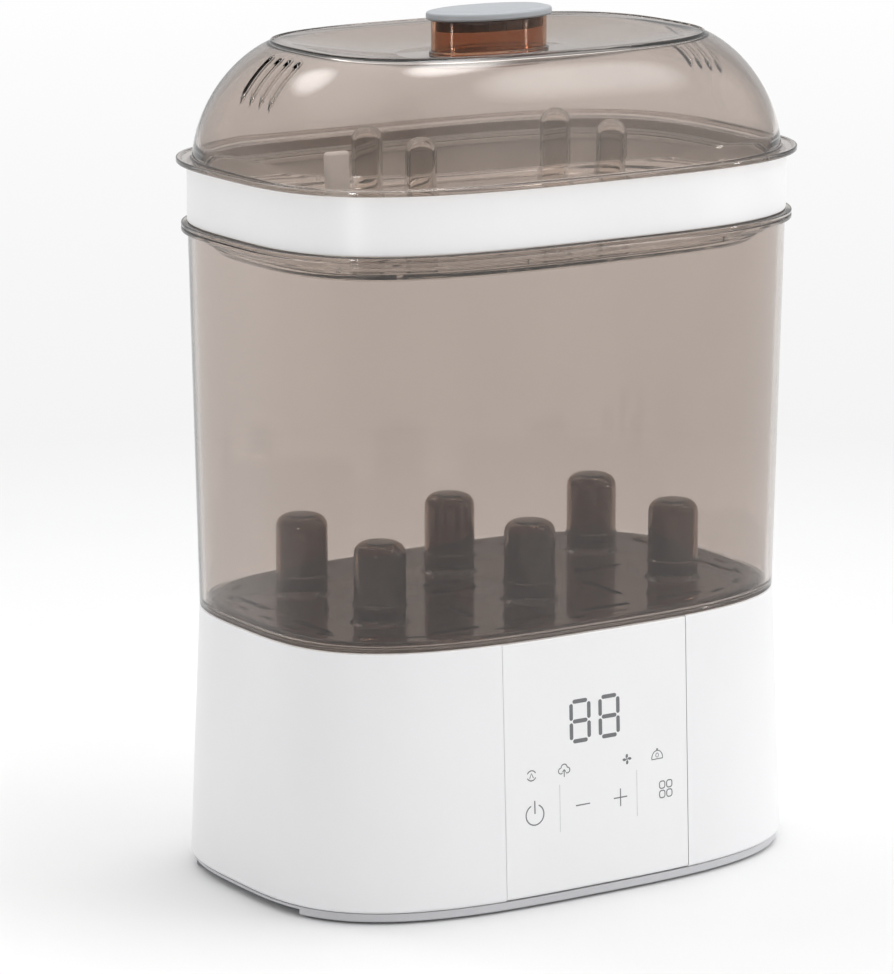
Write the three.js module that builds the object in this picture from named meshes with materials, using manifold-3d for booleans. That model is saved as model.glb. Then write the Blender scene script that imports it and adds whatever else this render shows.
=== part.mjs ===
// Bottle sterilizer: a white electric base with a smoky tank, a bottle rack, an
// accessory tray and a domed lid stacked on it. Millimetres, +Z up, front faces -Y,
// origin on the floor under the middle of the base.
import * as THREE from "three";
import { mergeVertices } from "three/addons/utils/BufferGeometryUtils.js";
import Module from "manifold-3d";

const wasm = await Module();
wasm.setup();

// ---------------------------------------------------------------- driving dimensions
const SEG = 32; // points round each oval outline
const GAP = 0.3; // gap between pieces that touch

// plan outline at the seam of base and tank, and at the foot of the base
const SEAM_A = 130.0,
  SEAM_B = 86.94,
  SEAM_N = 3.2,
  SEAM_Z = 121.4;
const FOOT_A = 134.6,
  FOOT_B = 91.6,
  FOOT_Z = 5.2;
const WALL = 3.2; // base wall
const DECK_Z = 114.0,
  DECK_T = 2.6; // floor of the steam chamber
const LIP_A = 126.6; // inside of the base's raised lip

const PANEL_X = 49.0,
  PANEL_T = 1.9; // control panel, half width and thickness

const TANK_TOP_A = 133.2,
  TANK_TOP_Z = 291.8,
  TANK_T = 2.4;
const TONGUE_A = 126.2,
  TONGUE_IN_A = 124.6;
const RIM_A = 135.8,
  RIM_Z = 295.6;

const RACK_A = 123.8,
  RACK_N = 3.2,
  RACK_Z = 124.9,
  RACK_T = 2.2;
const POST_X = 79.0,
  POST_Y = 33.0,
  POST_R = 11.5,
  POST_Z = 161.2;

const RING_Z0 = RIM_Z + GAP,
  RING_Z1 = 321.8,
  RING_A0 = 133.4,
  RING_A1 = 133.3;
const TRAY_LIP_Z = 316.8,
  TRAY_FLOOR_Z = 283.0,
  LEDGE_A = 116.0,
  LEDGE_T = 0.9,
  PLATE_Z = TRAY_FLOOR_Z + LEDGE_T + GAP,
  PLATE_T = 1.4;
const PEG_X = 50.5,
  PEG_Y = 22.3,
  PEG_R = 7.0,
  PEG_Z = 336.6;

const LID_Z = RING_Z1 + GAP,
  FLANGE_A = 137.6,
  FLANGE_T = 2.2,
  DOME_A = 131.3,
  DOME_Z = 320.4,
  DOME_TOP_A = 92.0,
  DOME_TOP_DROP = 27.0,
  DOME_TOP_N = 2.7,
  DOME_TOP_Z = 377.3,
  LID_T = 2.2;
const DISH_Z = 368.6; // bottom of the shallow dish round the handle
const VENT_W = 3.0,
  VENT_PITCH = 7.8,
  VENT_X0 = 105.2,
  VENT_X1 = 120.4;

const HANDLE_N = 2.1; // exponent of the handle's plan outline
const CAP_A = 31.4,
  CAP_B = 16.8,
  CAP_Z0 = 383.9,
  CAP_Z1 = 388.2;
const RISER_A = 28.9,
  RISER_B = 15.0,
  RISER_Z0 = 364.4,
  RISER_T = 1.8,
  CLIP_Z0 = 378.8;

const HEAT_X = -22.0,
  HEAT_R = 50.0; // heating plate centre and well radius
const FAN_X = 50.0,
  FAN_Y = 0.0,
  FAN_R = 36.0;

// ---------------------------------------------------------------- solid helpers
const OFFSET_B = SEAM_A - SEAM_B; // every outline is this much narrower than it is long

// A closed geometry as a solid, its faces turned outward whichever way they were drawn.
function toSolid(geometry) {
  const g = geometry.clone();
  g.deleteAttribute("normal");
  g.deleteAttribute("uv");
  const m = mergeVertices(g, 1e-4);
  const position = m.attributes.position;
  const index = new Uint32Array(m.index.array);
  const corner = (k) => new THREE.Vector3().fromBufferAttribute(position, k);
  let volume = 0;
  for (let k = 0; k < index.length; k += 3)
    volume += corner(index[k]).dot(
      corner(index[k + 1]).cross(corner(index[k + 2])),
    );
  if (volume < 0)
    for (let k = 0; k < index.length; k += 3)
      [index[k + 1], index[k + 2]] = [index[k + 2], index[k + 1]];
  return new wasm.Manifold(
    new wasm.Mesh({
      numProp: 3,
      vertProperties: new Float32Array(position.array),
      triVerts: index,
    }),
  );
}

function toGeometry(solid) {
  const mesh = solid.getMesh();
  const g = new THREE.BufferGeometry();
  g.setAttribute(
    "position",
    new THREE.BufferAttribute(new Float32Array(mesh.vertProperties), 3),
  );
  g.setIndex(new THREE.BufferAttribute(new Uint32Array(mesh.triVerts), 1));
  g.computeVertexNormals();
  return g;
}

// One superellipse ring at height z, half length a, half width b, exponent n.
function ring(a, b, n, z) {
  const points = [];
  for (let i = 0; i < SEG; i++) {
    const t = (2 * Math.PI * i) / SEG;
    const c = Math.cos(t),
      s = Math.sin(t);
    points.push([
      a * Math.sign(c) * Math.abs(c) ** (2 / n),
      b * Math.sign(s) * Math.abs(s) ** (2 / n),
      z,
    ]);
  }
  return points;
}

// A wall or block through a list of rings. closed joins the last ring to the first.
function loft(rings, closed = false) {
  const count = rings[0].length;
  const position = rings.flat(2);
  const index = [];
  const last = closed ? rings.length : rings.length - 1;
  for (let r = 0; r < last; r++) {
    const p = r * count,
      q = ((r + 1) % rings.length) * count;
    for (let i = 0; i < count; i++) {
      const j = (i + 1) % count;
      index.push(p + i, p + j, q + j, p + i, q + j, q + i);
    }
  }
  if (!closed) {
    const low = position.length / 3;
    position.push(0, 0, rings[0][0][2]);
    position.push(0, 0, rings[rings.length - 1][0][2]);
    const top = (rings.length - 1) * count;
    for (let i = 0; i < count; i++) {
      const j = (i + 1) % count;
      index.push(low, j, i);
      index.push(low + 1, top + i, top + j);
    }
  }
  const g = new THREE.BufferGeometry();
  g.setAttribute("position", new THREE.Float32BufferAttribute(position, 3));
  g.setIndex(index);
  return toSolid(g);
}

// Rings given as [a, z] with the seam's own proportions: b follows a.
const oval = (list, closed = false, n = SEAM_N) =>
  loft(
    list.map(([a, z]) => ring(a, a - OFFSET_B, n, z)),
    closed,
  );

const box = (x0, x1, y0, y1, z0, z1) =>
  toSolid(
    new THREE.BoxGeometry(x1 - x0, y1 - y0, z1 - z0).translate(
      (x0 + x1) / 2,
      (y0 + y1) / 2,
      (z0 + z1) / 2,
    ),
  );

const cylinder = (r, x, y, z0, z1, seg = 32) =>
  toSolid(
    new THREE.CylinderGeometry(r, r, z1 - z0, seg)
      .rotateX(Math.PI / 2)
      .translate(x, y, (z0 + z1) / 2),
  );

const cylinderY = (r, x, z, y0, y1, seg = 32) =>
  toSolid(
    new THREE.CylinderGeometry(r, r, y1 - y0, seg).translate(
      x,
      (y0 + y1) / 2,
      z,
    ),
  );

// A turned piece about a vertical axis; profile is [r, z] and closed or ends on the axis.
const turned = (profile, x, y, seg = 40) =>
  toSolid(
    new THREE.LatheGeometry(
      profile.map(([r, z]) => new THREE.Vector2(r, z)),
      seg,
    )
      .rotateX(Math.PI / 2)
      .translate(x, y, 0),
  );

// A straight-sided block with rounded ends, its long axis along X.
function stadium(length, depth, z0, z1, seg = 10) {
  const r = depth / 2,
    h = length / 2 - r;
  const shape = new THREE.Shape();
  shape.moveTo(-h, -r);
  shape.lineTo(h, -r);
  shape.absarc(h, 0, r, -Math.PI / 2, Math.PI / 2, false);
  shape.lineTo(-h, r);
  shape.absarc(-h, 0, r, Math.PI / 2, (3 * Math.PI) / 2, false);
  const g = new THREE.ExtrudeGeometry(shape, {
    depth: z1 - z0,
    bevelEnabled: false,
    curveSegments: seg,
  });
  return toSolid(g.translate(0, 0, z0));
}

// A vertical slot with rounded ends, cut along X or Y.
function slot(x, y, length, width, z0, z1, alongY = false) {
  const g = stadium(length, width, z0, z1, 3);
  return (alongY ? g.rotate([0, 0, 90]) : g).translate([x, y, 0]);
}

const group = new THREE.Group();
group.name = "bottle_sterilizer";

function add(name, solid, colour, roughness, metalness = 0, extra = {}) {
  const material = new THREE.MeshStandardMaterial({
    color: colour,
    roughness,
    metalness,
    ...extra,
  });
  const mesh = new THREE.Mesh(toGeometry(solid), material);
  mesh.name = name;
  group.add(mesh);
}

const WHITE = 0xf2f2f2,
  SMOKE = 0x8f7f72,
  GREY = 0x9a9aa0,
  STEEL = 0xc8c8c8,
  DARK = 0x2c2a2a;
const CLEAR = { transparent: true, opacity: 0.5 };

// ---------------------------------------------------------------- base casing
// half length of the base's outside at height z
const baseA = (z) =>
  SEAM_A + ((FOOT_A - SEAM_A) * (SEAM_Z - z)) / (SEAM_Z - FOOT_Z);

const baseSkin = (inset, z0, z1) =>
  oval([
    [baseA(z0) - inset, z0],
    [baseA(z1) - inset, z1],
  ]);

let shell = oval([
  [FOOT_A - 1.4, FOOT_Z],
  [FOOT_A - 0.4, FOOT_Z + 0.5],
  [baseA(FOOT_Z + 1.8), FOOT_Z + 1.8],
  [baseA(SEAM_Z - 1.0), SEAM_Z - 1.0],
  [SEAM_A - 0.5, SEAM_Z - 0.3],
]);
shell = shell.subtract(baseSkin(WALL, FOOT_Z - 2, DECK_Z - DECK_T));
shell = shell.subtract(
  oval([
    [LIP_A, DECK_Z],
    [LIP_A, SEAM_Z + 4],
  ]),
);
// screw bosses hang from the deck's side walls
const BOSS_X = 90,
  BOSS_Y = 66;
let bosses = null;
for (const sx of [-1, 1])
  for (const sy of [-1, 1]) {
    const x = sx * BOSS_X,
      y = sy * BOSS_Y;
    const rib = box(
      x - 1.2,
      x + 1.2,
      Math.min(y, sy * (BOSS_Y + 13.5)),
      Math.max(y, sy * (BOSS_Y + 13.5)),
      FOOT_Z + 0.4,
      30,
    );
    const boss = cylinder(4.6, x, y, FOOT_Z + 0.2, 32, 20)
      .add(rib)
      .subtract(cylinder(1.8, x, y, 0, 20, 12));
    bosses = bosses ? bosses.add(boss) : boss;
  }
shell = shell.add(bosses);
// pocket and window for the control panel
shell = shell.subtract(
  box(-PANEL_X - GAP, PANEL_X + GAP, -120, -60, 0, 130).subtract(
    baseSkin(PANEL_T + GAP, -2, 132),
  ),
);
shell = shell.subtract(box(-43, 43, -120, -60, 16, 109));
// openings in the deck for the heating plate and the warm-air duct
const DUCT_X0 = 87,
  DUCT_X1 = 109,
  DUCT_Y = 14;
shell = shell.subtract(
  cylinder(HEAT_R + 0.8, HEAT_X, 0, DECK_Z - 6, DECK_Z + 2, 36),
);
shell = shell.subtract(
  box(DUCT_X0 + 2.3, DUCT_X1 - 2.3, -DUCT_Y + 2.3, DUCT_Y - 2.3, 100, 120),
);
// rear openings: air intake behind the filter cover, and the cord inlet
const FC_X0 = 22,
  FC_X1 = 78,
  FC_Z0 = 22,
  FC_Z1 = 64;
shell = shell.subtract(
  box(FC_X0 - GAP, FC_X1 + GAP, 60, 120, FC_Z0 - GAP, FC_Z1 + GAP),
);
const INLET_X = -40,
  INLET_Z = 24,
  INLET_Y = 88.2;
shell = shell.subtract(cylinderY(10.4, INLET_X, INLET_Z, INLET_Y, 110, 32));
shell = shell.subtract(cylinderY(6.4, INLET_X, INLET_Z, 70, 110, 28));
add("base_shell", shell, WHITE, 0.32);

// control panel: flush front insert with four pegs that hold the touch board
const panelSkin = (inset) => baseSkin(inset, FOOT_Z, SEAM_Z);
let panel = panelSkin(0)
  .subtract(baseSkin(PANEL_T, FOOT_Z - 3, SEAM_Z + 3))
  .intersect(box(-PANEL_X, PANEL_X, -120, -60, FOOT_Z + 0.5, SEAM_Z - 0.6));
for (const x of [-37, 37])
  for (const z of [36, 92])
    panel = panel.add(cylinderY(2.2, x, z, z > 60 ? -86.6 : -88.8, -79.4, 12));
add("control_panel", panel, WHITE, 0.28);

add("touch_board", box(-41, 41, -79.0, -77.4, 26, 102), 0x1f5c3a, 0.5);
add("led_display", box(-16, 16, -85.2, -79.4, 70, 94), 0xd8d8da, 0.45);

// ---------------------------------------------------------------- underside
const PLINTH_A = 133.45;
let plate = oval(
  [
    [PLINTH_A - 0.9, 1.0],
    [PLINTH_A, 1.8],
    [PLINTH_A, FOOT_Z - GAP],
  ],
  false,
  3.15,
).subtract(
  oval(
    [
      [PLINTH_A - 4, 0],
      [PLINTH_A - 4, 2.6],
    ],
    false,
    3.15,
  ),
);
for (const s of [-1, 1])
  plate = plate.subtract(
    box(s < 0 ? -150 : 114, s < 0 ? -114 : 150, -44.9, 44.9, 0, 3.7),
  );
for (const sx of [-1, 1])
  for (const sy of [-1, 1])
    plate = plate.subtract(
      cylinder(2.1, sx * BOSS_X, sy * BOSS_Y, 0, 8, 16),
    );
// air slots under the fan
for (const dx of [-18, -9, 0, 9, 18])
  plate = plate.subtract(
    slot(FAN_X + dx, 0, 30 - Math.abs(dx) * 0.4, 3.2, 0, 8, true),
  );
add("base_plate", plate, GREY, 0.55);

const FOOT_X = 104,
  FOOT_Y = 50;
const SIDE = { "-1": ["left", "front"], 1: ["right", "rear"] };
for (const sx of [-1, 1])
  for (const sy of [-1, 1]) {
    const place = SIDE[sy][1] + "_" + SIDE[sx][0];
    add(
      "foot_" + place,
      turned(
        [
          [0, 0],
          [7.6, 0],
          [8.6, 0.7],
          [8.6, 2.3],
          [0, 2.3],
        ],
        sx * FOOT_X,
        sy * FOOT_Y,
        18,
      ),
      0x6b6b70,
      0.85,
    );
    add(
      "screw_" + place,
      turned(
        [
          [0, 0.8],
          [2.6, 0.8],
          [3.3, 1.3],
          [3.3, 2.3],
          [1.4, 2.4],
          [1.4, 15],
          [0, 16.4],
        ],
        sx * BOSS_X,
        sy * BOSS_Y,
        10,
      ),
      STEEL,
      0.35,
      0.9,
    );
  }

// ---------------------------------------------------------------- heater
const H0 = 103.8;
add(
  "heating_plate",
  turned(
    [
      [0, H0],
      [HEAT_R - 4, H0],
      [HEAT_R - 0.6, H0 + 3],
      [HEAT_R - 0.6, DECK_Z + 2.0],
      [56, DECK_Z + 2.0],
      [56, DECK_Z + 2.8],
      [HEAT_R - 1.4, DECK_Z + 2.8],
      [HEAT_R - 1.4, H0 + 3.3],
      [HEAT_R - 4.4, H0 + 0.8],
      [0, H0 + 0.8],
    ],
    HEAT_X,
    0,
    28,
  ),
  STEEL,
  0.28,
  0.95,
);
add(
  "plate_seal",
  turned(
    [
      [51.2, DECK_Z + GAP],
      [56.6, DECK_Z + GAP],
      [56.6, DECK_Z + 1.7],
      [51.2, DECK_Z + 1.7],
      [51.2, DECK_Z + GAP],
    ],
    HEAT_X,
    0,
    28,
  ),
  0xd9d9d9,
  0.8,
);
// cast heating block with the element and the temperature sensor under it
let heatBlock = cylinder(42, HEAT_X, 0, H0 - 7.3, H0 - GAP, 28);
heatBlock = heatBlock.subtract(
  cylinder(9.4, HEAT_X, 0, H0 - 12, H0 - 2.3, 24),
);
add("heating_block", heatBlock, 0xb9b9ba, 0.5, 0.8);
{
  const arc = new THREE.CatmullRomCurve3(
    Array.from({ length: 25 }, (_, k) => {
      const t = THREE.MathUtils.degToRad(-150 + (300 * k) / 24);
      return new THREE.Vector3(
        HEAT_X + 32 * Math.cos(t),
        32 * Math.sin(t),
        H0 - 11.2,
      );
    }),
  );
  const section = new THREE.Shape();
  section.absarc(0, 0, 3.5, 0, Math.PI * 2, false);
  const tube = new THREE.ExtrudeGeometry(section, {
    steps: 26,
    curveSegments: 4,
    bevelEnabled: false,
    extrudePath: arc,
  });
  add("heating_element", toSolid(tube), 0x8d8d8f, 0.45, 0.8);
}
add(
  "temperature_sensor",
  cylinder(8.6, HEAT_X, 0, H0 - 16, H0 - 2.6, 24).add(
    box(HEAT_X - 3, HEAT_X + 3, -1, 1, H0 - 22, H0 - 15),
  ),
  DARK,
  0.5,
);

// ---------------------------------------------------------------- power board
let power = box(-106, -20, -46, 46, 20.3, 21.9);
power = power
  .add(box(-98, -66, -38, -8, 21.4, 47)) // transformer
  .add(box(-58, -40, -40, -20, 21.4, 38)) // relay
  .add(cylinder(8, -90, 12, 21.4, 46, 20)) // capacitor
  .add(cylinder(5, -70, 12, 21.4, 40, 16))
  .add(box(-96, -70, 28, 38, 21.4, 34)) // terminal block
  .add(box(-50, -30, 0, 24, 21.4, 30));
add("power_board", power, 0x2e6b45, 0.55);
for (const sx of [0, 1])
  for (const sy of [0, 1]) {
    const names = ["front", "rear"][sy] + "_" + ["left", "right"][sx];
    add(
      "board_spacer_" + names,
      cylinder(3.2, sx ? -26 : -102, sy ? 41 : -41, FOOT_Z + 0.2, 20.0, 12),
      0xe6e6e6,
      0.6,
    );
  }

// ---------------------------------------------------------------- dryer
// blower housing: open scroll with an upward outlet into the heater duct
const FAN_Z0 = 14,
  FAN_Z1 = 44,
  DUCT_BASE_Z = 52;
let scroll = cylinder(FAN_R, FAN_X, FAN_Y, FAN_Z0, FAN_Z1, 28).add(
  box(FAN_X + 10, DUCT_X1, -DUCT_Y, DUCT_Y, FAN_Z0, FAN_Z1),
);
scroll = scroll.add(
  box(DUCT_X0, DUCT_X1, -DUCT_Y, DUCT_Y, FAN_Z1 - 3, DUCT_BASE_Z),
);
scroll = scroll
  .subtract(cylinder(FAN_R - 2, FAN_X, FAN_Y, FAN_Z0 + 2, FAN_Z1 - 2, 28))
  .subtract(
    box(
      FAN_X + 8,
      DUCT_X1 - 2,
      -DUCT_Y + 2,
      DUCT_Y - 2,
      FAN_Z0 + 2,
      FAN_Z1 - 2,
    ),
  )
  .subtract(
    box(DUCT_X0 + 2, DUCT_X1 - 2, -DUCT_Y + 2, DUCT_Y - 2, 30, DUCT_BASE_Z + 1),
  )
  .subtract(cylinder(17, FAN_X, FAN_Y, FAN_Z0 - 2, FAN_Z0 + 4, 20))
  .subtract(cylinder(5, FAN_X, FAN_Y, FAN_Z1 - 4, FAN_Z1 + 2, 14));
// legs down to the bottom cover
for (const [dx, dy] of [
  [-28, -28],
  [-28, 28],
  [28, -28],
  [28, 28],
])
  scroll = scroll.add(
    cylinder(4, FAN_X + dx * 0.85, dy * 0.85, FOOT_Z + 0.2, FAN_Z0 + 1, 12),
  );
add("fan_housing", scroll, 0xdadada, 0.5);

let impeller = cylinder(29, FAN_X, FAN_Y, 37.4, 39.2, 24).add(
  cylinder(5, FAN_X, FAN_Y, 26, 39.2, 20),
);
for (let k = 0; k < 13; k++)
  impeller = impeller.add(
    box(-0.7, 0.7, 20, 29.6, 20, 38.5)
      .rotate([0, 0, (360 * k) / 13])
      .translate([FAN_X, FAN_Y, 0]),
  );
impeller = impeller
  .add(
    cylinder(29.8, FAN_X, FAN_Y, 18.6, 20.4, 24).subtract(
      cylinder(22, FAN_X, FAN_Y, 18, 21, 24),
    ),
  )
  .subtract(cylinder(1.9, FAN_X, FAN_Y, 27, 42, 12)); // bore for the motor shaft
add("fan_impeller", impeller, 0xf0f0f0, 0.5);
add(
  "fan_motor",
  turned(
    [
      [0, 27.5],
      [1.5, 27.5],
      [1.5, FAN_Z1 + GAP],
      [15, FAN_Z1 + GAP],
      [15, FAN_Z1 + 19],
      [13, FAN_Z1 + 21],
      [0, FAN_Z1 + 21],
    ],
    FAN_X,
    FAN_Y,
    28,
  ),
  0x77777a,
  0.45,
  0.6,
);

// duct above the blower, with the ceramic heater block in it
let duct = box(DUCT_X0, DUCT_X1, -DUCT_Y, DUCT_Y, DUCT_BASE_Z + GAP, 111.1);
duct = duct.subtract(
  box(DUCT_X0 + 2, DUCT_X1 - 2, -DUCT_Y + 2, DUCT_Y - 2, 40, 120),
);
add("air_duct", duct, 0xd2d2d4, 0.5);
let ptc = box(
  DUCT_X0 + 2.3,
  DUCT_X1 - 2.3,
  -DUCT_Y + 2.3,
  DUCT_Y - 2.3,
  62,
  82,
);
for (const x of [92.6, 98, 103.4])
  for (const y of [-8, -4, 0, 4, 8])
    ptc = ptc.subtract(box(x - 1.7, x + 1.7, y - 1.2, y + 1.2, 60, 84));
add("drying_heater", ptc, 0xa8a49c, 0.6, 0.4);
// splash cap over the outlet in the chamber floor: air leaves through its sides
let cap = box(DUCT_X0 - 1, DUCT_X1 + 1, -DUCT_Y - 1, DUCT_Y + 1, DECK_Z + GAP, 120.6)
  .subtract(
    box(
      DUCT_X0 + 1,
      DUCT_X1 - 1,
      -DUCT_Y + 1,
      DUCT_Y - 1,
      DECK_Z - 2,
      DECK_Z + 5.2,
    ),
  );
for (const y of [-10, -5, 0, 5, 10])
  cap = cap.subtract(box(60, 130, y - 1.4, y + 1.4, DECK_Z + 1.6, DECK_Z + 4.4));
add("air_outlet_cap", cap, WHITE, 0.4);

// ---------------------------------------------------------------- rear fittings
// filter cover follows the casing and slides out with the filter behind it
let cover = baseSkin(0.1, 0, 100)
  .subtract(baseSkin(2.4, -3, 103))
  .intersect(box(FC_X0, FC_X1, 60, 120, FC_Z0, FC_Z1));
const coverBack = box(FC_X0 + 3, FC_X1 - 3, 74, 88.4, FC_Z0 + 3, FC_Z1 - 3)
  .subtract(box(FC_X0 + 5, FC_X1 - 5, 70, 92, FC_Z0 + 5, FC_Z1 - 5))
  .intersect(baseSkin(1.2, -3, 103));
cover = cover.add(coverBack);
for (let z = FC_Z0 + 8; z < FC_Z1 - 5; z += 5)
  cover = cover.subtract(
    box(FC_X0 + 8, FC_X1 - 8, 78, 120, z, z + 2.4),
  );
add("filter_cover", cover, WHITE, 0.35);
add(
  "air_filter",
  box(
    FC_X0 + 5.3,
    FC_X1 - 5.3,
    74.5,
    81.5,
    FC_Z0 + 5.3,
    FC_Z1 - 5.3,
  ),
  0xe8e6e0,
  0.95,
);
add(
  "cord_inlet",
  toSolid(
    new THREE.LatheGeometry(
      [
        [3.4, 0],
        [6.0, 0],
        [6.0, 10.3],
        [9.8, 10.3],
        [9.8, 11.4],
        [8.8, 12.2],
        [3.4, 12.2],
        [3.4, 0],
      ].map(([r, h]) => new THREE.Vector2(r, h)),
      28,
    ).translate(INLET_X, INLET_Y + GAP - 10.3, INLET_Z),
  ),
  0xdcdcdc,
  0.6,
);

// ---------------------------------------------------------------- tank
const wallA = (z) =>
  SEAM_A +
  ((TANK_TOP_A - SEAM_A) * (z - SEAM_Z)) / (TANK_TOP_Z - SEAM_Z);
const tank = oval(
  [
    [TONGUE_A, DECK_Z + GAP],
    [TONGUE_A, SEAM_Z],
    [SEAM_A, SEAM_Z],
    [wallA(TANK_TOP_Z - 1), TANK_TOP_Z - 1],
    [RIM_A - 0.6, TANK_TOP_Z - 0.4],
    [RIM_A, TANK_TOP_Z + 0.6],
    [RIM_A - 0.7, TANK_TOP_Z + 1.7],
    [RIM_A, TANK_TOP_Z + 2.6],
    [RIM_A - 0.6, RIM_Z],
    [TANK_TOP_A - TANK_T, RIM_Z],
    [TONGUE_IN_A + 3.0, SEAM_Z + 3.0],
    [TONGUE_IN_A, SEAM_Z + 1.0],
    [TONGUE_IN_A, DECK_Z + GAP],
  ],
  true,
);
add("tank", tank, SMOKE, 0.08, 0, CLEAR);

// ---------------------------------------------------------------- bottle rack
let rack = oval(
  [
    [RACK_A - 0.5, RACK_Z - RACK_T],
    [RACK_A, RACK_Z - RACK_T + 0.5],
    [RACK_A, RACK_Z - 0.6],
    [RACK_A - 0.7, RACK_Z],
  ],
  false,
  RACK_N,
);
const skirt = oval(
  [
    [122.2, DECK_Z + GAP],
    [122.2, RACK_Z - RACK_T + 0.4],
    [120.4, RACK_Z - RACK_T + 0.4],
    [120.4, DECK_Z + GAP],
  ],
  true,
  RACK_N,
);
rack = rack.add(skirt);
for (const x of [-POST_X, 0, POST_X])
  for (const y of [-POST_Y, POST_Y]) {
    rack = rack
      .subtract(cylinder(POST_R - 1.2, x, y, 110, 130, 12))
      .add(
        turned(
          [
            [0, POST_Z],
            [POST_R * 0.6, POST_Z - 1.2],
            [POST_R, POST_Z - 6],
            [POST_R, RACK_Z - RACK_T],
            [POST_R - 1.8, RACK_Z - RACK_T],
            [POST_R - 1.8, POST_Z - 6.6],
            [0, POST_Z - 2],
          ],
          x,
          y,
          12,
        ),
      );
  }
const rackSlots = [];
for (const x of [-98, -60, -20, 20, 60, 98]) {
  if (Math.abs(x) < 90) rackSlots.push([x, -64, 26, false], [x, 64, 26, false]);
  if (Math.abs(x) < 90) rackSlots.push([x, 0, 26, false]);
}
for (const x of [-39.5, 39.5])
  for (const y of [-33, 33]) rackSlots.push([x, y, 30, true]);
for (const x of [-108, 108])
  for (const y of [-26, 26]) rackSlots.push([x, y, 28, true]);
for (const [x, y, length, alongY] of rackSlots)
  rack = rack.subtract(slot(x, y, length, 3.4, 118, 130, alongY));
add("bottle_rack", rack, 0x5b4d45, 0.12, 0, CLEAR);

// ---------------------------------------------------------------- accessory tray
add(
  "tray_ring",
  oval(
    [
      [RING_A0 - 0.5, RING_Z0],
      [RING_A0, RING_Z0 + 0.6],
      [RING_A1, RING_Z1 - 0.6],
      [RING_A1 - 0.5, RING_Z1],
      [130.9, RING_Z1],
      [130.9, 314.5],
      [128.9, 314.5],
      [128.9, 312.6],
      [130.9, 311.6],
      [130.9, RING_Z0],
    ],
    true,
  ),
  WHITE,
  0.3,
);
// the basket's skirt: an upper tier in the ring, a step, and a narrower tier
// with a ledge that carries the floor
let basket = oval([
  [119.5, TRAY_FLOOR_Z],
  [121.5, TRAY_FLOOR_Z + 0.6],
  [122.6, TRAY_FLOOR_Z + 2.0],
  [123.0, TRAY_FLOOR_Z + 4.2],
  [126.4, TRAY_FLOOR_Z + 4.6],
  [127.4, TRAY_FLOOR_Z + 5.8],
  [128.5, 314.9],
  [130.4, 314.9],
  [130.4, TRAY_LIP_Z - 0.4],
  [130.0, TRAY_LIP_Z],
]);
basket = basket
  .subtract(
    oval([
      [119.4, TRAY_FLOOR_Z + LEDGE_T],
      [120.6, TRAY_FLOOR_Z + 2.6],
      [121.0, TRAY_FLOOR_Z + 6.2],
      [125.2, TRAY_FLOOR_Z + 6.8],
      [126.5, TRAY_LIP_Z + 2],
    ]),
  )
  .subtract(
    oval([
      [LEDGE_A, TRAY_FLOOR_Z - 2],
      [LEDGE_A, TRAY_FLOOR_Z + 4],
    ]),
  );
add("accessory_tray", basket, SMOKE, 0.15, 0, CLEAR);
// the floor: a slotted plate with four upright pegs
let tray = oval([
  [118.4, PLATE_Z],
  [119.0, PLATE_Z + 0.4],
  [119.0, PLATE_Z + PLATE_T],
]);
const PEGS = [
  [-PEG_X, -PEG_Y],
  [-PEG_X, PEG_Y],
  [PEG_X, -PEG_Y],
  [PEG_X, PEG_Y],
];
for (const [x, y] of PEGS)
  tray = tray.subtract(cylinder(PEG_R - 1.2, x, y, 270, 290, 12)).add(
    turned(
      [
        [0, PEG_Z],
        [PEG_R * 0.7, PEG_Z - 2],
        [PEG_R, PEG_Z - 7],
        [PEG_R, PLATE_Z + 0.2],
        [PEG_R - 1.8, PLATE_Z + 0.2],
        [PEG_R - 1.8, PEG_Z - 7.6],
        [0, PEG_Z - 2.4],
      ],
      x,
      y,
      12,
    ),
  );
for (const x of [-78, -26, 0, 26, 78])
  for (const y of [-34, 34])
    tray = tray.subtract(slot(x, y, 30, 3.6, 275, 292, true));
for (const x of [-52, 0, 52])
  tray = tray.subtract(slot(x, 0, 26, 3.6, 275, 292, true));
add("tray_floor", tray, SMOKE, 0.15, 0, CLEAR);
add(
  "tray_tab",
  stadium(12.0, 4.4, PLATE_Z + PLATE_T + GAP, 332.6, 6).translate([
    -89.7, -16, 0,
  ]),
  WHITE,
  0.35,
);

// an upright oval block on the handle riser's outline, grown by a margin
function handleOval(margin, z0, z1) {
  const level = (z) =>
    ring(RISER_A + margin, RISER_B + margin, HANDLE_N, z);
  return loft([level(z0), level(z1)]);
}

// ---------------------------------------------------------------- lid
// dome outline at angle s from the foot (0) to the crown (90 degrees)
function dome(s, inset) {
  const w = 1 - Math.cos(s) ** 1.257;
  const a = DOME_A * (1 - w) + DOME_TOP_A * w;
  const b =
    (DOME_A - OFFSET_B) * (1 - w) + (DOME_A - OFFSET_B - DOME_TOP_DROP) * w;
  const n = SEAM_N * (1 - w) + DOME_TOP_N * w;
  const z = DOME_Z + (DOME_TOP_Z - DOME_Z) * Math.sin(s) ** 1.026;
  // the inner face is stepped in along the wall's own slope
  const tilt = s;
  return ring(
    a - inset * Math.cos(tilt),
    b - inset * Math.cos(tilt),
    n,
    z - inset * Math.sin(tilt),
  );
}
const rad = THREE.MathUtils.degToRad;
const flat = (a, z, n = SEAM_N) => ring(a, a - OFFSET_B, n, z);
const EDGE = 77; // degrees: where the dome meets the edge of the dish
const edge = dome(rad(EDGE), 0);
const edgeA = edge.reduce((m, p) => Math.max(m, p[0]), 0),
  edgeB = edge.reduce((m, p) => Math.max(m, p[1]), 0),
  edgeZ = edge[0][2];
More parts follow.
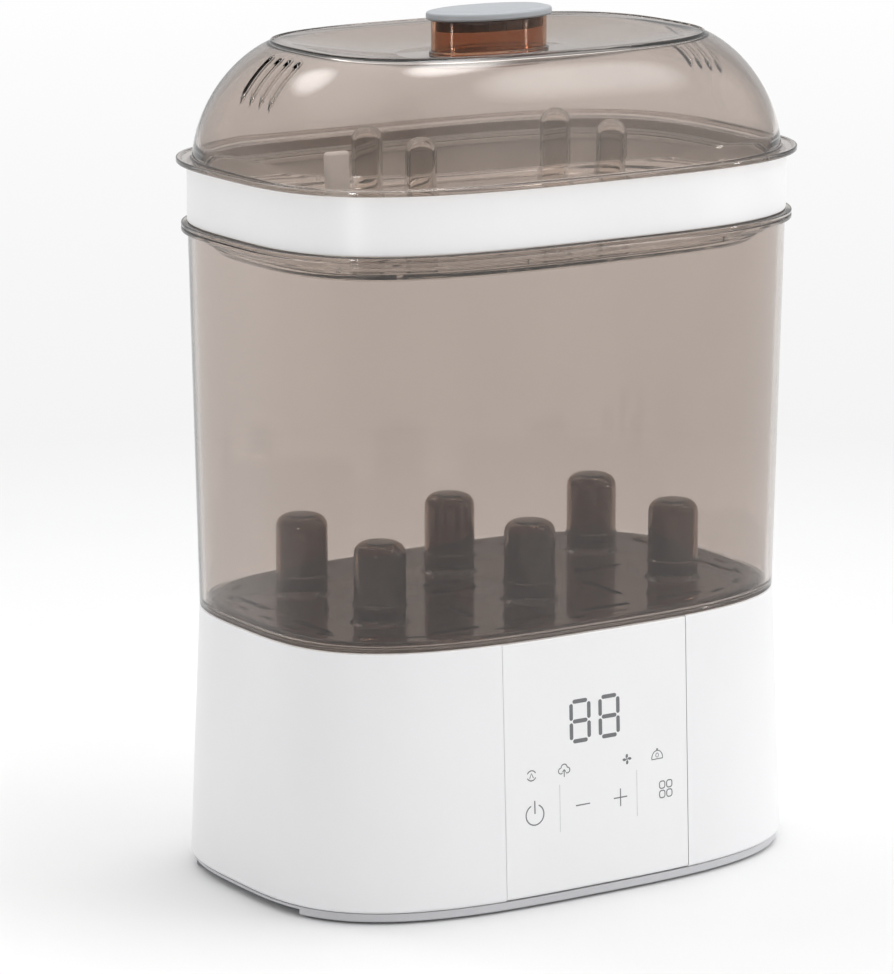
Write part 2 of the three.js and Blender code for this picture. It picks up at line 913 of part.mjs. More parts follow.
const outside = [
  flat(130.2, 317.6),
  flat(130.4, LID_Z),
  flat(FLANGE_A - 0.6, LID_Z),
  flat(FLANGE_A, LID_Z + 0.8),
  flat(FLANGE_A, LID_Z + FLANGE_T + 0.3),
  flat(FLANGE_A - 1.6, LID_Z + FLANGE_T + 0.3),
  flat(DOME_A + 0.3, LID_Z + FLANGE_T - 0.2),
];
for (const s of [14, 27, 39, 51, 62, EDGE - 3])
  outside.push(dome(rad(s), 0));
outside.push(ring(edgeA, edgeB, 2.9, edgeZ + 0.6));
outside.push(ring(edgeA - 1.4, edgeB - 1.4, 2.9, edgeZ + 0.6));
for (const t of [0.93, 0.7, 0.42])
  outside.push(
    ring(
      edgeA * t,
      edgeB * t,
      2.9 - 0.5 * (1 - t),
      DISH_Z + (edgeZ - 0.4 - DISH_Z) * (Math.max(0, t - 0.42) / 0.51) ** 1.6,
    ),
  );
const inside = [flat(128.3, 310)];
inside.push(flat(128.5, 318));
for (const s of [4, 27, 39, 51, 62, 74])
  inside.push(dome(rad(s), LID_T));
for (const t of [0.86, 0.65, 0.42])
  inside.push(
    ring(
      edgeA * t,
      edgeB * t,
      2.9 - 0.5 * (1 - t),
      DISH_Z -
        LID_T +
        (edgeZ - 0.4 - DISH_Z) * (Math.max(0, t - 0.42) / 0.51) ** 1.6,
    ),
  );
let lid = loft(outside).subtract(loft(inside));
// hole for the handle riser
lid = lid.subtract(handleOval(GAP, 355, 380));
// steam vents: four slots running down each end
for (const sx of [-1, 1])
  for (const k of [-1.5, -0.5, 0.5, 1.5]) {
    const y = k * VENT_PITCH;
    lid = lid.subtract(
      box(
        sx < 0 ? -VENT_X1 : VENT_X0,
        sx < 0 ? -VENT_X0 : VENT_X1,
        y - VENT_W / 2,
        y + VENT_W / 2,
        345,
        390,
      ),
    );
  }
add("lid", lid, SMOKE, 0.06, 0, CLEAR);

// ---------------------------------------------------------------- lid handle
let riser = handleOval(0, RISER_Z0, CAP_Z0 - GAP)
  .add(handleOval(3, RISER_Z0 - 0.2, RISER_Z0 + 1.4))
  .subtract(handleOval(-RISER_T, RISER_Z0 - 2, CAP_Z0 + 2));
add("handle_riser", riser, 0x8a5c40, 0.1, 0, CLEAR);
add(
  "handle_clip",
  handleOval(-RISER_T - GAP, CLIP_Z0, CAP_Z0 - GAP),
  DARK,
  0.5,
);
const capRing = (inset, z) => ring(CAP_A - inset, CAP_B - inset, HANDLE_N, z);
const top = loft([
  capRing(1.0, CAP_Z0),
  capRing(0.2, CAP_Z0 + 0.6),
  capRing(0, CAP_Z1 - 2.0),
  capRing(0.5, CAP_Z1 - 0.9),
  capRing(1.8, CAP_Z1 - 0.3),
  capRing(5.0, CAP_Z1),
]);
add("handle_cap", top, 0xcfd4da, 0.45);

export default group;
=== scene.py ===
import math

import bmesh
import bpy
import numpy as np
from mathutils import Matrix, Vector


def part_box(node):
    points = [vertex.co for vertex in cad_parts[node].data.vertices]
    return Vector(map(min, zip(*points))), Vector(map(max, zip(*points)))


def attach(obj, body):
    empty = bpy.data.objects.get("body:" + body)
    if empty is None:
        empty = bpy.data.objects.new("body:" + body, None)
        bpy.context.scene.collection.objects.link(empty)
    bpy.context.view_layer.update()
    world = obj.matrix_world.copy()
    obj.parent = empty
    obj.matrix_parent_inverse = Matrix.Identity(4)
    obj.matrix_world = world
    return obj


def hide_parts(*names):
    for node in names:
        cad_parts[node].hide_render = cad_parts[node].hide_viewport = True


# The looks of a bottle sterilizer: a white electric base with a touch panel, a smoky tank
# with a rack of posts in it, a white ringed accessory tray and a domed smoky lid.
# Lengths are millimetres until make() turns them into metres. +Z is up, the front faces -Y.

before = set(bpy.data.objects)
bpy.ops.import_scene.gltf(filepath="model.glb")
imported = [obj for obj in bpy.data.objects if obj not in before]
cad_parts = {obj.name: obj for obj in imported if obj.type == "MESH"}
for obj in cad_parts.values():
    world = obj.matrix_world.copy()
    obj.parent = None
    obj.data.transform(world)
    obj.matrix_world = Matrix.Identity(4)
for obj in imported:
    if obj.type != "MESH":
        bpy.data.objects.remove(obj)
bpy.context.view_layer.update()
MM = 0.001


def corners(node):
    """Lowest and highest corner of a CAD node, in millimetres."""
    low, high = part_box(node)
    return np.array(low) / MM, np.array(high) / MM


# ---------------------------------------------------------------- driving dimensions
AROUND = 256  # points round each oval outline
GAP = 0.3  # the CAD keeps this gap between pieces that touch
SLIM = 43.06  # every outline's half width is this much less than its half length
OVAL_N = 3.2  # exponent of the plan outlines

FOOT_Z = corners("base_shell")[0][2]
SEAM_Z = corners("base_shell")[1][2] + GAP  # where the tank stands on the base
SEAM_A, FOOT_A = 130.0, 134.6  # half length of the base at its seam and at its foot
WALL = 3.2
LIP_A = 126.6
DECK_Z = corners("tank")[0][2] - GAP  # floor of the steam chamber
DECK_T = 2.6
PANEL_X, PANEL_T = corners("control_panel")[1][0], 1.9

RIM_Z, RIM_A = corners("tank")[1][2], corners("tank")[1][0]
TANK_TOP_Z, TANK_TOP_A, TANK_T = RIM_Z - 3.8, 133.2, 2.4
TONGUE_A, TONGUE_IN_A = 126.2, 124.6
SNAPS_X = (-118.0, -37.9, 67.6)  # small tabs under the rim, at these places along the tank
SNAP_X, SNAP_Y, SNAP_H = 1.0, 0.7, 2.8  # half length, half depth and height of one

RACK_A, RACK_T = corners("bottle_rack")[1][0], 2.2
RACK_Z, POST_Z = SEAM_Z + 3.5, corners("bottle_rack")[1][2]
POST_X, POST_Y, POST_R, POST_T = 79.0, 33.0, 11.5, 1.8
EDGE_SLOTS, EDGE_SLOT_A = 32, 116.4  # short slots round the edge of the rack

RING_Z0, RING_Z1 = corners("tray_ring")[0][2], corners("tray_ring")[1][2]
RING_A = corners("tray_ring")[1][0]
TRAY_Z, TRAY_LIP_Z = corners("accessory_tray")[0][2], corners("accessory_tray")[1][2]
TRAY_FLOOR_A, TRAY_FLOOR_Z, TRAY_FLOOR_T = 119.0, corners("tray_floor")[0][2], 1.4
PEG_X, PEG_Y, PEG_R, PEG_Z = 50.5, 22.3, 7.0, corners("tray_floor")[1][2]

LID_Z, FLANGE_A, FLANGE_T = RING_Z1 + GAP, corners("lid")[1][0], 2.5
DOME_A, DOME_Z, DOME_TOP_A, DOME_TOP_Z = 131.3, 320.4, 92.0, 377.3
DOME_TOP_DROP, DOME_TOP_N, LID_T, DISH_Z = 27.0, 2.7, 2.2, 368.6
DISH_EDGE = math.radians(77)  # where the dome meets the rim of its dish
DISH_N, DISH_FLAT, DISH_FALL = 2.9, 0.42, 1.6
VENT_W, VENT_PITCH, VENT_X0, VENT_X1 = 3.0, 7.8, 105.2, 120.4
VENT_PLACES = (-1.5, -0.5, 0.5, 1.5)  # of the four vents at each end, in pitches
VENT_CUT = (345, 390)  # the vents' cutters reach from below the dome to above it
CLIP_GROOVES_X, CLIP_GROOVE_W = (-18.0, -9.0, 0.0, 9.0, 18.0), 0.9
CLIP_GROOVES_Y = ((-20.0, -11.0), (11.0, 20.0))  # each groove leaves the middle of the clip whole
RIM_RISE, RIM_W = 0.35, 0.9  # raised rim round each vent
RISER_A, RISER_B, RISER_T = 28.9, 15.0, 1.8
CAP_A, CAP_B, HANDLE_N = corners("handle_cap")[1][0], corners("handle_cap")[1][1], 2.1

HEAT_X, HEAT_R = -22.0, 50.0
DUCT_X = 98.0
DUCT_HOLE_X, DUCT_HOLE_Y = 8.7, 11.7  # half sizes of the air duct's hole in the chamber floor
GASKET_R0, GASKET_R1 = 51.2, 56.6
LOUVRES_Y = (-10, -5, 0, 5, 10)  # air slots through the cap over the duct
FAN_X = float(np.mean([corner[0] for corner in corners("fan_impeller")]))


# ---------------------------------------------------------------- outlines and solids
def outline(a, b, n, count=AROUND):
    """Points spaced evenly along a superellipse of half length a and half width b."""
    t = np.linspace(0, 2 * math.pi, 2881)
    c, s = np.cos(t), np.sin(t)
    x = a * np.sign(c) * np.abs(c) ** (2 / n)
    y = b * np.sign(s) * np.abs(s) ** (2 / n)
    run = np.concatenate([[0], np.cumsum(np.hypot(np.diff(x), np.diff(y)))])
    at = np.linspace(0, run[-1], count, endpoint=False)
    return np.stack([np.interp(at, run, x), np.interp(at, run, y)], 1)


def level(points, z):
    """A flat outline lifted to height z."""
    return np.column_stack([points, np.full(len(points), z)])


def rounded(profile, closed=False, steps=5):
    """Corners (across, up, radius) as points, each corner with a radius turned to an arc."""
    points = []
    for i, (u, z, radius) in enumerate(profile):
        here = np.array([u, z], float)
        if radius == 0 or (not closed and i in (0, len(profile) - 1)):
            points.append(here)
            continue
        back = np.array(profile[i - 1][:2], float) - here
        ahead = np.array(profile[(i + 1) % len(profile)][:2], float) - here
        back, ahead = back / np.linalg.norm(back), ahead / np.linalg.norm(ahead)
        half = 0.5 * math.acos(np.clip(back @ ahead, -1, 1))
        middle = (back + ahead) / np.linalg.norm(back + ahead)
        centre = here + middle * radius / math.sin(half)
        start = here + back * radius / math.tan(half) - centre
        end = here + ahead * radius / math.tan(half) - centre
        turn = math.pi - 2 * half
        for k in range(steps + 1):
            f = k / steps
            arc = math.sin((1 - f) * turn) * start + math.sin(f * turn) * end
            points.append(centre + arc / math.sin(turn))
    return points


def loft(rings, closed=False):
    """Vertices and faces of a skin through rings of equal count, capped unless closed."""
    count = len(rings[0])
    faces = []
    for r in range(len(rings) if closed else len(rings) - 1):
        p, q = r * count, ((r + 1) % len(rings)) * count
        for i in range(count):
            j = (i + 1) % count
            faces.append((p + i, p + j, q + j, q + i))
    if not closed:
        top = (len(rings) - 1) * count
        faces.append(tuple(range(count - 1, -1, -1)))
        faces.append(tuple(range(top, top + count)))
    return np.concatenate(rings), faces


def make(name, *parts):
    """One mesh object, in metres, from (vertices, faces) bodies in millimetres."""
    verts, faces = [], []
    for body_verts, body_faces in parts:
        start = sum(len(v) for v in verts)
        verts.append(np.asarray(body_verts, float))
        faces += [tuple(start + i for i in face) for face in body_faces]
    mesh = bpy.data.meshes.new(name)
    mesh.from_pydata((np.concatenate(verts) * MM).tolist(), [], faces)
    bm = bmesh.new()
    bm.from_mesh(mesh)
    bmesh.ops.remove_doubles(bm, verts=bm.verts, dist=1e-7)
    bmesh.ops.recalc_face_normals(bm, faces=bm.faces)
    bm.to_mesh(mesh)
    bm.free()
    made = bpy.data.objects.new(name, mesh)
    bpy.context.scene.collection.objects.link(made)
    return made


def oval(profile, closed=False, n=OVAL_N, steps=5):
    """A body whose plan is the oval outline: profile holds (half length, height, radius)."""
    rings = [level(outline(u, u - SLIM, n), z) for u, z in rounded(profile, closed, steps)]
    return loft(rings, closed)


def turned(profile, x, y, count=64, steps=4, closed=False):
    """A body turned about the upright line through x, y, from (radius, height, fillet)."""
    t = np.linspace(0, 2 * math.pi, count, endpoint=False)
    circle = np.stack([np.cos(t), np.sin(t)], 1)
    points = rounded(profile, closed, steps)
    return loft([level(circle * max(r, 1e-3) + [x, y], z) for r, z in points], closed)


def stadium(length, depth, seg=12):
    """Outline with straight sides along X and round ends."""
    r, h = depth / 2, length / 2 - depth / 2
    t = np.linspace(-math.pi / 2, math.pi / 2, seg + 1)
    right = np.stack([h + r * np.cos(t), r * np.sin(t)], 1)
    return np.concatenate([right, -right])


def prism(points, z0, z1):
    """An upright block with this plan outline."""
    return loft([level(points, z0), level(points, z1)])


def pill(length, depth, profile, seg=16, steps=4, x=0.0, y=0.0):
    """A stadium block whose edges follow profile: (inset, height, radius) from low to high."""
    rings = []
    for inset, z in rounded(profile, False, steps):
        rings.append(level(stadium(length - 2 * inset, depth - 2 * inset, seg) + [x, y], z))
    return loft(rings)


def slot(x, y, length, width, z0, z1, angle=0.0, seg=6):
    """An upright cutter for a slot with round ends, its length turned by angle from X."""
    c, s = math.cos(angle), math.sin(angle)
    points = stadium(length, width, seg) @ np.array([[c, s], [-s, c]])
    return prism(points + [x, y], z0, z1)


def block(x0, x1, y0, y1, z0, z1, radius=0.0, axis=2, seg=5):
    """A block, its edges along axis rounded."""
    if radius == 0:
        flat = np.array([[x0, y0], [x1, y0], [x1, y1], [x0, y1]], float)
        return prism(flat, z0, z1)
    spans = [(x0, x1), (y0, y1), (z0, z1)]
    (u0, u1), (v0, v1) = [spans[k] for k in range(3) if k != axis]
    flat = np.array(
        rounded([(u0, v0, radius), (u1, v0, radius), (u1, v1, radius), (u0, v1, radius)], True, seg)
    )
    verts, faces = prism(flat, *spans[axis])
    order = {2: [0, 1, 2], 1: [0, 2, 1], 0: [2, 0, 1]}[axis]
    return verts[:, order], faces


def boolean(piece, cutter, operation):
    """piece cut by or joined to cutter, exactly, and the cutter thrown away."""
    step = piece.modifiers.new("step", "BOOLEAN")
    step.operation = operation
    step.solver = "EXACT"
    step.object = cutter
    bpy.context.view_layer.update()
    graph = bpy.context.evaluated_depsgraph_get()
    mesh = bpy.data.meshes.new_from_object(piece.evaluated_get(graph))
    piece.modifiers.clear()
    old, piece.data = piece.data, mesh
    bpy.data.meshes.remove(old)
    bpy.data.objects.remove(cutter)
    return piece


def cut(piece, *bodies):
    return boolean(piece, make("cutter", *bodies), "DIFFERENCE")


def join(piece, *bodies):
    return boolean(piece, make("adder", *bodies), "UNION")


def dress(piece, body, material, nodes=(), sharp=34):
    """Smooth shading, body, CAD nodes stood for, material slot and material of a piece."""
    mesh = piece.data
    mesh.materials.clear()
    mesh.materials.append(material)
    mesh.polygons.foreach_set("use_smooth", [True] * len(mesh.polygons))
    mesh.set_sharp_from_angle(angle=math.radians(sharp))
    weighted = piece.modifiers.new("weighted", "WEIGHTED_NORMAL")
    weighted.keep_sharp = True
    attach(piece, body)
    if nodes:
        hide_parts(*nodes)
    return piece


# ---------------------------------------------------------------- material parts
def new_material(name):
    material = bpy.data.materials.new(name)
    material.use_nodes = True
    nodes = material.node_tree.nodes
    nodes.clear()
    output = nodes.new("ShaderNodeOutputMaterial")
    shader = nodes.new("ShaderNodeBsdfPrincipled")
    material.node_tree.links.new(shader.outputs[0], output.inputs["Surface"])
    return material, shader


def link(material, source, target):
    material.node_tree.links.new(source, target)


def noise(material, scale, detail=2.0, stretch=(1, 1, 1), shift=0.0):
    """Noise over the piece itself, scale in features per metre."""
    nodes = material.node_tree.nodes
    place = nodes.new("ShaderNodeTexCoord")
    mapping = nodes.new("ShaderNodeMapping")
    mapping.inputs["Scale"].default_value = stretch
    mapping.inputs["Location"].default_value = (shift, shift * 0.7, shift * 1.3)
    texture = nodes.new("ShaderNodeTexNoise")
    texture.inputs["Scale"].default_value = scale
    texture.inputs["Detail"].default_value = detail
    link(material, place.outputs["Object"], mapping.inputs["Vector"])
    link(material, mapping.outputs[0], texture.inputs["Vector"])
    return texture.outputs["Fac"]


def between(material, source, low, high, start=0.3, end=0.7):
    """source, from start to end, turned into numbers from low to high."""
    node = material.node_tree.nodes.new("ShaderNodeMapRange")
    for socket, value in zip(node.inputs[1:5], (start, end, low, high)):
        socket.default_value = value
    link(material, source, node.inputs["Value"])
    return node.outputs[0]


def blended(material, source, first, second, start=0.3, end=0.7):
    """A colour that goes from first to second as source goes from start to end."""
    node = material.node_tree.nodes.new("ShaderNodeValToRGB")
    for element, place, colour in zip(node.color_ramp.elements, (start, end), (first, second)):
        element.position = place
        element.color = (*colour, 1)
    link(material, source, node.inputs[0])
    return node.outputs[0]


def coloured(material, shader, *how):
    """Joins blended(material, *how) to the shader's colour."""
    link(material, blended(material, *how), shader.inputs["Base Color"])


def glossed(material, shader, *how):
    """Joins between(material, *how) to the shader's roughness."""
    link(material, between(material, *how), shader.inputs["Roughness"])


def bumped(material, shader, source, depth, strength=1.0, under=None):
    """Relief of depth millimetres on the shader's normal, over an earlier relief if given."""
    node = material.node_tree.nodes.new("ShaderNodeBump")
    node.inputs["Distance"].default_value = depth * MM
    node.inputs["Strength"].default_value = strength
    link(material, source, node.inputs["Height"])
    if under is not None:
        link(material, under, node.inputs["Normal"])
    link(material, node.outputs[0], shader.inputs["Normal"])
    return node.outputs[0]


def times(colour, factor):
    return tuple(min(1.0, c * factor) for c in colour)


def moulded(name, colour, roughness, grain=0.012, shade=0.965, specular=0.5):
    """Injection-moulded plastic: faint flow shading, uneven gloss and a fine spark grain."""
    material, shader = new_material(name)
    flow = noise(material, 14, 3, (1, 1, 0.6))
    coloured(material, shader, flow, times(colour, shade), colour)
    gloss = noise(material, 55, 3, shift=2.0)
    glossed(material, shader, gloss, roughness - 0.04, roughness + 0.05)
    fine = noise(material, 1500, 2, shift=5.0)
    wave = noise(material, 24, 1, shift=1.0)
    first = bumped(material, shader, wave, 0.12, 0.35)
    bumped(material, shader, fine, grain, 0.6, first)
    shader.inputs["Specular IOR Level"].default_value = specular
    return material


def smoky(name, tint, lamp, roughness=0.03, ior=1.49, wave=0.10, shade=0.95):
    """See-through tinted plastic: slight flow in the tint and gloss, soft waves on its skin.
    Rays to the lamps pass through as through a plain filter of the colour lamp."""
    material, shader = new_material(name)
    flow = noise(material, 11, 2, (1, 1, 0.5), 3.0)
    coloured(material, shader, flow, times(tint, shade), tint)
    shader.inputs["Transmission Weight"].default_value = 1.0
    shader.inputs["IOR"].default_value = ior
    haze = noise(material, 40, 2, shift=4.0)
    glossed(material, shader, haze, max(0.0, roughness - 0.015), roughness + 0.02)
    bumped(material, shader, noise(material, 16, 1, (1, 1, 0.7), 6.0), wave, 0.5)
    nodes = material.node_tree.nodes
    through = nodes.new("ShaderNodeBsdfTransparent")
    through.inputs["Color"].default_value = (*lamp, 1)
    path = nodes.new("ShaderNodeLightPath")
    mix = nodes.new("ShaderNodeMixShader")
    link(material, path.outputs["Is Shadow Ray"], mix.inputs[0])
    link(material, shader.outputs[0], mix.inputs[1])
    link(material, through.outputs[0], mix.inputs[2])
    output = next(n for n in nodes if n.type == "OUTPUT_MATERIAL")
    link(material, mix.outputs[0], output.inputs["Surface"])
    return material


def metal(name, colour, roughness, stretch=(1, 1, 1), scale=220, depth=0.02):
    """Bare metal with drawn or cast texture, depending on stretch and scale."""
    material, shader = new_material(name)
    shader.inputs["Metallic"].default_value = 1.0
    grain = noise(material, scale, 4, stretch)
    coloured(material, shader, grain, times(colour, 0.88), colour)
    glossed(material, shader, grain, roughness - 0.08, roughness + 0.1)
    bumped(material, shader, grain, depth, 0.7)
    return material


def spun_steel(name, colour, x):
    """Stainless steel with fine turning rings round the upright line at x."""
    material, shader = new_material(name)
    shader.inputs["Metallic"].default_value = 1.0
    nodes = material.node_tree.nodes
    place = nodes.new("ShaderNodeTexCoord")
    mapping = nodes.new("ShaderNodeMapping")
    mapping.inputs["Location"].default_value = (-x * MM, 0, 0)
    rings = nodes.new("ShaderNodeTexWave")
    rings.wave_type = "RINGS"
    rings.rings_direction = "Z"
    rings.inputs["Scale"].default_value = 260
    rings.inputs["Distortion"].default_value = 1.5
    rings.inputs["Detail"].default_value = 2
    link(material, place.outputs["Object"], mapping.inputs["Vector"])
    link(material, mapping.outputs[0], rings.inputs["Vector"])
    lines = rings.outputs["Fac"]
    coloured(material, shader, lines, times(colour, 0.9), colour, 0.1, 0.9)
    glossed(material, shader, lines, 0.2, 0.34, 0, 1)
    bumped(material, shader, lines, 0.02, 0.5)
    return material


def rubbery(name, colour, roughness=0.75):
    """Matt rubber or silicone with a dusty bloom and a fine pebble."""
    material, shader = new_material(name)
    bloom = noise(material, 130, 4)
    coloured(material, shader, bloom, colour, times(colour, 1.25))
    glossed(material, shader, bloom, roughness - 0.08, roughness + 0.08)
    bumped(material, shader, noise(material, 900, 2, shift=2.0), 0.04, 0.6)
    return material


def board(name):
    """Circuit board: green lacquer over a fine grid of copper tracks."""
    material, shader = new_material(name)
    nodes = material.node_tree.nodes
    place = nodes.new("ShaderNodeTexCoord")
    tracks = nodes.new("ShaderNodeTexBrick")
    tracks.inputs["Color1"].default_value = (0.02, 0.13, 0.06, 1)
    tracks.inputs["Color2"].default_value = (0.025, 0.17, 0.075, 1)
    tracks.inputs["Mortar"].default_value = (0.12, 0.27, 0.10, 1)
    tracks.inputs["Scale"].default_value = 90
    tracks.inputs["Mortar Size"].default_value = 0.05
    link(material, place.outputs["Object"], tracks.inputs["Vector"])
    link(material, tracks.outputs["Color"], shader.inputs["Base Color"])
    glossed(material, shader, noise(material, 80), 0.3, 0.45)
    bumped(material, shader, tracks.outputs["Fac"], 0.03, 0.6)
    return material


def fibrous(name, colour):
    """Pleated filter wool: fine crossing fibres."""
    material, shader = new_material(name)
    fibre = noise(material, 600, 5, (0.25, 1, 1))
    coloured(material, shader, fibre, times(colour, 0.78), colour)
    glossed(material, shader, fibre, 0.85, 0.98)
    bumped(material, shader, fibre, 0.3, 0.9)
    return material


def ink(name, colour, roughness=0.5):
    """Printed ink: a little uneven in cover and gloss."""
    material, shader = new_material(name)
    cover = noise(material, 700, 3)
    coloured(material, shader, cover, times(colour, 0.93), times(colour, 1.05))
    glossed(material, shader, cover, roughness - 0.05, roughness + 0.05)
    bumped(material, shader, cover, 0.004, 0.4)
    return material


SMOKE_TINT = (0.690, 0.630, 0.590)
WHITE = moulded("white_plastic", (0.865, 0.865, 0.875), 0.34)
PANEL = moulded("panel_white", (0.875, 0.875, 0.88), 0.34)
PLINTH = moulded("plinth_grey", (0.60, 0.60, 0.62), 0.36, 0.02, 0.93)
# The tray's band is the base's white plastic made lighter: painted light standing in for the extra light
# that falls on the ring.
BAND_WHITE_WITH_PAINTED_LIGHT = moulded("band_white_with_painted_light", (0.91, 0.91, 0.915), 0.34)
CAP = moulded("cap_grey", (0.44, 0.46, 0.485), 0.38, 0.012, 0.96)
# The grip tab's white is pushed to nearly full white: its own white plastic plus a painted reflection of a
# light.
TAB_WHITE_WITH_PAINTED_REFLECTION = moulded("tab_white_with_painted_reflection", (0.985, 0.985, 0.985), 0.4, 0.012, 0.99)
CLIP = moulded("clip_dark", (0.035, 0.03, 0.028), 0.45, 0.02, 0.8)
INNER = moulded("inner_plastic", (0.62, 0.62, 0.63), 0.5, 0.03, 0.93)
DISPLAY = moulded("display_grey", (0.40, 0.41, 0.42), 0.35, 0.01, 0.9)
SENSOR = moulded("sensor_black", (0.03, 0.03, 0.032), 0.5, 0.03, 0.8)
CERAMIC = moulded("ceramic", (0.38, 0.36, 0.33), 0.7, 0.06, 0.8)
SMOKE = smoky("smoke_clear", SMOKE_TINT, (0.93, 0.905, 0.885))
RACK = smoky("rack_smoke", (0.265, 0.165, 0.115), (0.46, 0.36, 0.30), 0.05)
SKIRT = smoky("skirt_smoke", (0.985, 0.955, 0.925), (0.98, 0.97, 0.96), ior=1.33, wave=0.0)
RISER = smoky("riser_brown", (0.60, 0.345, 0.22), (0.74, 0.56, 0.45), 0.03)
STEEL = spun_steel("stainless", (0.66, 0.66, 0.67), HEAT_X)
ALLOY = metal("cast_alloy", (0.55, 0.55, 0.56), 0.5, scale=500, depth=0.06)
SCREW = metal("screw_steel", (0.6, 0.6, 0.6), 0.32)
MOTOR = metal("motor_metal", (0.45, 0.45, 0.46), 0.38, (1, 1, 0.08), 700)
RUBBER = rubbery("foot_rubber", (0.12, 0.12, 0.125))
SILICONE = rubbery("silicone", (0.62, 0.62, 0.61), 0.6)
BOARD = board("board_green")
FILTER = fibrous("filter_fibre", (0.78, 0.76, 0.70))
PRINT = ink("print_grey", (0.16, 0.165, 0.17))
FAINT = ink("print_faint", (0.60, 0.60, 0.61))


# ---------------------------------------------------------------- base casing
def base_a(z):
    """Half length of the base's outside at height z."""
    return SEAM_A + (FOOT_A - SEAM_A) * (SEAM_Z - z) / (SEAM_Z - FOOT_Z)


def skin_y(x, z, inset=0.0):
    """How far the base's surface is from the middle plane at x and z, inset millimetres in."""
    a = base_a(z) - inset
    return (a - SLIM) * (1 - np.abs(np.asarray(x) / a) ** OVAL_N) ** (1 / OVAL_N)


def skin_block(columns, section, side):
    """A body that follows the base's front (side -1) or rear (+1) surface.
    columns holds (x, extra inset), section a loop of (inset, height)."""
    rings = []
    for x, extra in columns:
        rings.append(
            np.array([(x, side * skin_y(x, z, inset + extra), z) for inset, z in section])
        )
    return loft(rings)


def columns_of(x0, x1, edge=0.0, count=24):
    """Places across a skin block; its outer edges step in by edge millimetres."""
    xs = np.linspace(x0 + edge, x1 - edge, count)
    columns = [(x, 0.0) for x in xs]
    return [(x0, edge)] + columns + [(x1, edge)] if edge else columns


def casing():
    top = SEAM_Z - GAP
    profile = [
        (base_a(DECK_Z) - WALL - 4, DECK_Z - DECK_T, 0),
        (base_a(DECK_Z) - WALL, DECK_Z - DECK_T, 1.2),
        (base_a(FOOT_Z) - WALL, FOOT_Z, 0.4),
        (base_a(FOOT_Z), FOOT_Z, 1.7),
        (SEAM_A, top, 0.7),
        (LIP_A, top, 0.4),
        (LIP_A, DECK_Z, 0.8),
        (LIP_A - 6, DECK_Z, 0),
    ]
    shell = make("base_casing", oval(profile))
    pocket = [(-6, -2), (PANEL_T + GAP, -2), (PANEL_T + GAP, 132), (-6, 132)]
    side = PANEL_X + GAP
    cut(shell, skin_block(columns_of(-side, side), pocket, -1))
    cut(shell, block(-43, 43, -110, -60, 16, 109))
    low, high = corners("filter_cover")
    well_r, well_z = HEAT_R + 0.8, DECK_Z - 8
    well = [(0, well_z, 0), (well_r, well_z, 0), (well_r, 120, 0), (0, 120, 0)]
    cut(
        shell,
        turned(well, HEAT_X, 0, 96),
        block(DUCT_X - DUCT_HOLE_X, DUCT_X + DUCT_HOLE_X, -DUCT_HOLE_Y, DUCT_HOLE_Y, 100, 120),
        block(low[0] - GAP, high[0] + GAP, 60, 120, low[2] - GAP, high[2] + GAP, 2.3, 1),
    )
    inlet_low, inlet_high = corners("cord_inlet")
    x, _, z = (inlet_low + inlet_high) / 2
    cut(shell, spun_y([(0, 70), (6.4, 70), (6.4, 88.2), (10.4, 88.2), (10.4, 110), (0, 110)], x, z))
    dress(shell, "base", WHITE, ["base_shell"])


def spun_y(profile, x, z, count=64):
    """A body turned about a line along Y through x, z, from (radius, y)."""
    verts, faces = turned([(r, y, 0) for r, y in profile], 0, 0, count)
    return verts[:, [0, 2, 1]] + [x, 0, z], faces


def panel():
    low, high = corners("control_panel")
    z0, z1 = low[2], high[2]
    section = rounded([(0, z0, 1.4), (0, z1, 0.6), (PANEL_T, z1, 0), (PANEL_T, z0, 0)], True)
    body = make("touch_panel", skin_block(columns_of(-PANEL_X, PANEL_X, 0.25, 40), section, -1))
    pegs = []
    for x in (-37, 37):
        for z, depth in ((36, -88.8), (92, -86.6)):
            pegs.append(spun_y([(0, depth), (2.2, depth), (2.2, -79.4), (0, -79.4)], x, z, 24))
    join(body, *pegs)
    dress(body, "base", PANEL, ["control_panel"])


# ---------------------------------------------------------------- panel prints
PROUD, SUNK = 0.05, 0.25  # how far a print stands on the panel, and reaches into it


def on_panel(points, inset):
    """Panel coordinates (x, z) put on the front surface."""
    points = np.asarray(points, float)
    x, z = points[:, 0], points[:, 1]
    y = [-skin_y(u, v, inset) for u, v in points]
    return np.stack([x, y, z], 1)


def filled(loop):
    """A flat printed shape inside one loop."""
    return loft([on_panel(loop, SUNK), on_panel(loop, -PROUD)])


def banded(outer, inner):
    """A printed band between two loops of equal count."""
    rings = [on_panel(outer, -PROUD), on_panel(outer, SUNK), on_panel(inner, SUNK), on_panel(inner, -PROUD)]
    return loft(rings, True)


def stroke(points, width, seg=6):
    """A printed line with round ends."""
    p = np.asarray(points, float)
    ahead = np.diff(p, axis=0)
    ahead /= np.linalg.norm(ahead, axis=1)[:, None]
    tangent = np.concatenate([ahead[:1], ahead[:-1] + ahead[1:], ahead[-1:]])
    tangent /= np.linalg.norm(tangent, axis=1)[:, None]
    normal = np.stack([-tangent[:, 1], tangent[:, 0]], 1) * width / 2
    fan = np.linspace(0, math.pi, seg + 1)[1:-1]

    def cap(at, direction, side):
        return [at + side * math.cos(f) + direction * math.sin(f) * width / 2 for f in fan]

    loop = list(p + normal)
    loop += cap(p[-1], tangent[-1], normal[-1])
    loop += list((p - normal)[::-1])
    loop += cap(p[0], -tangent[0], -normal[0])
    return filled(np.array(loop))


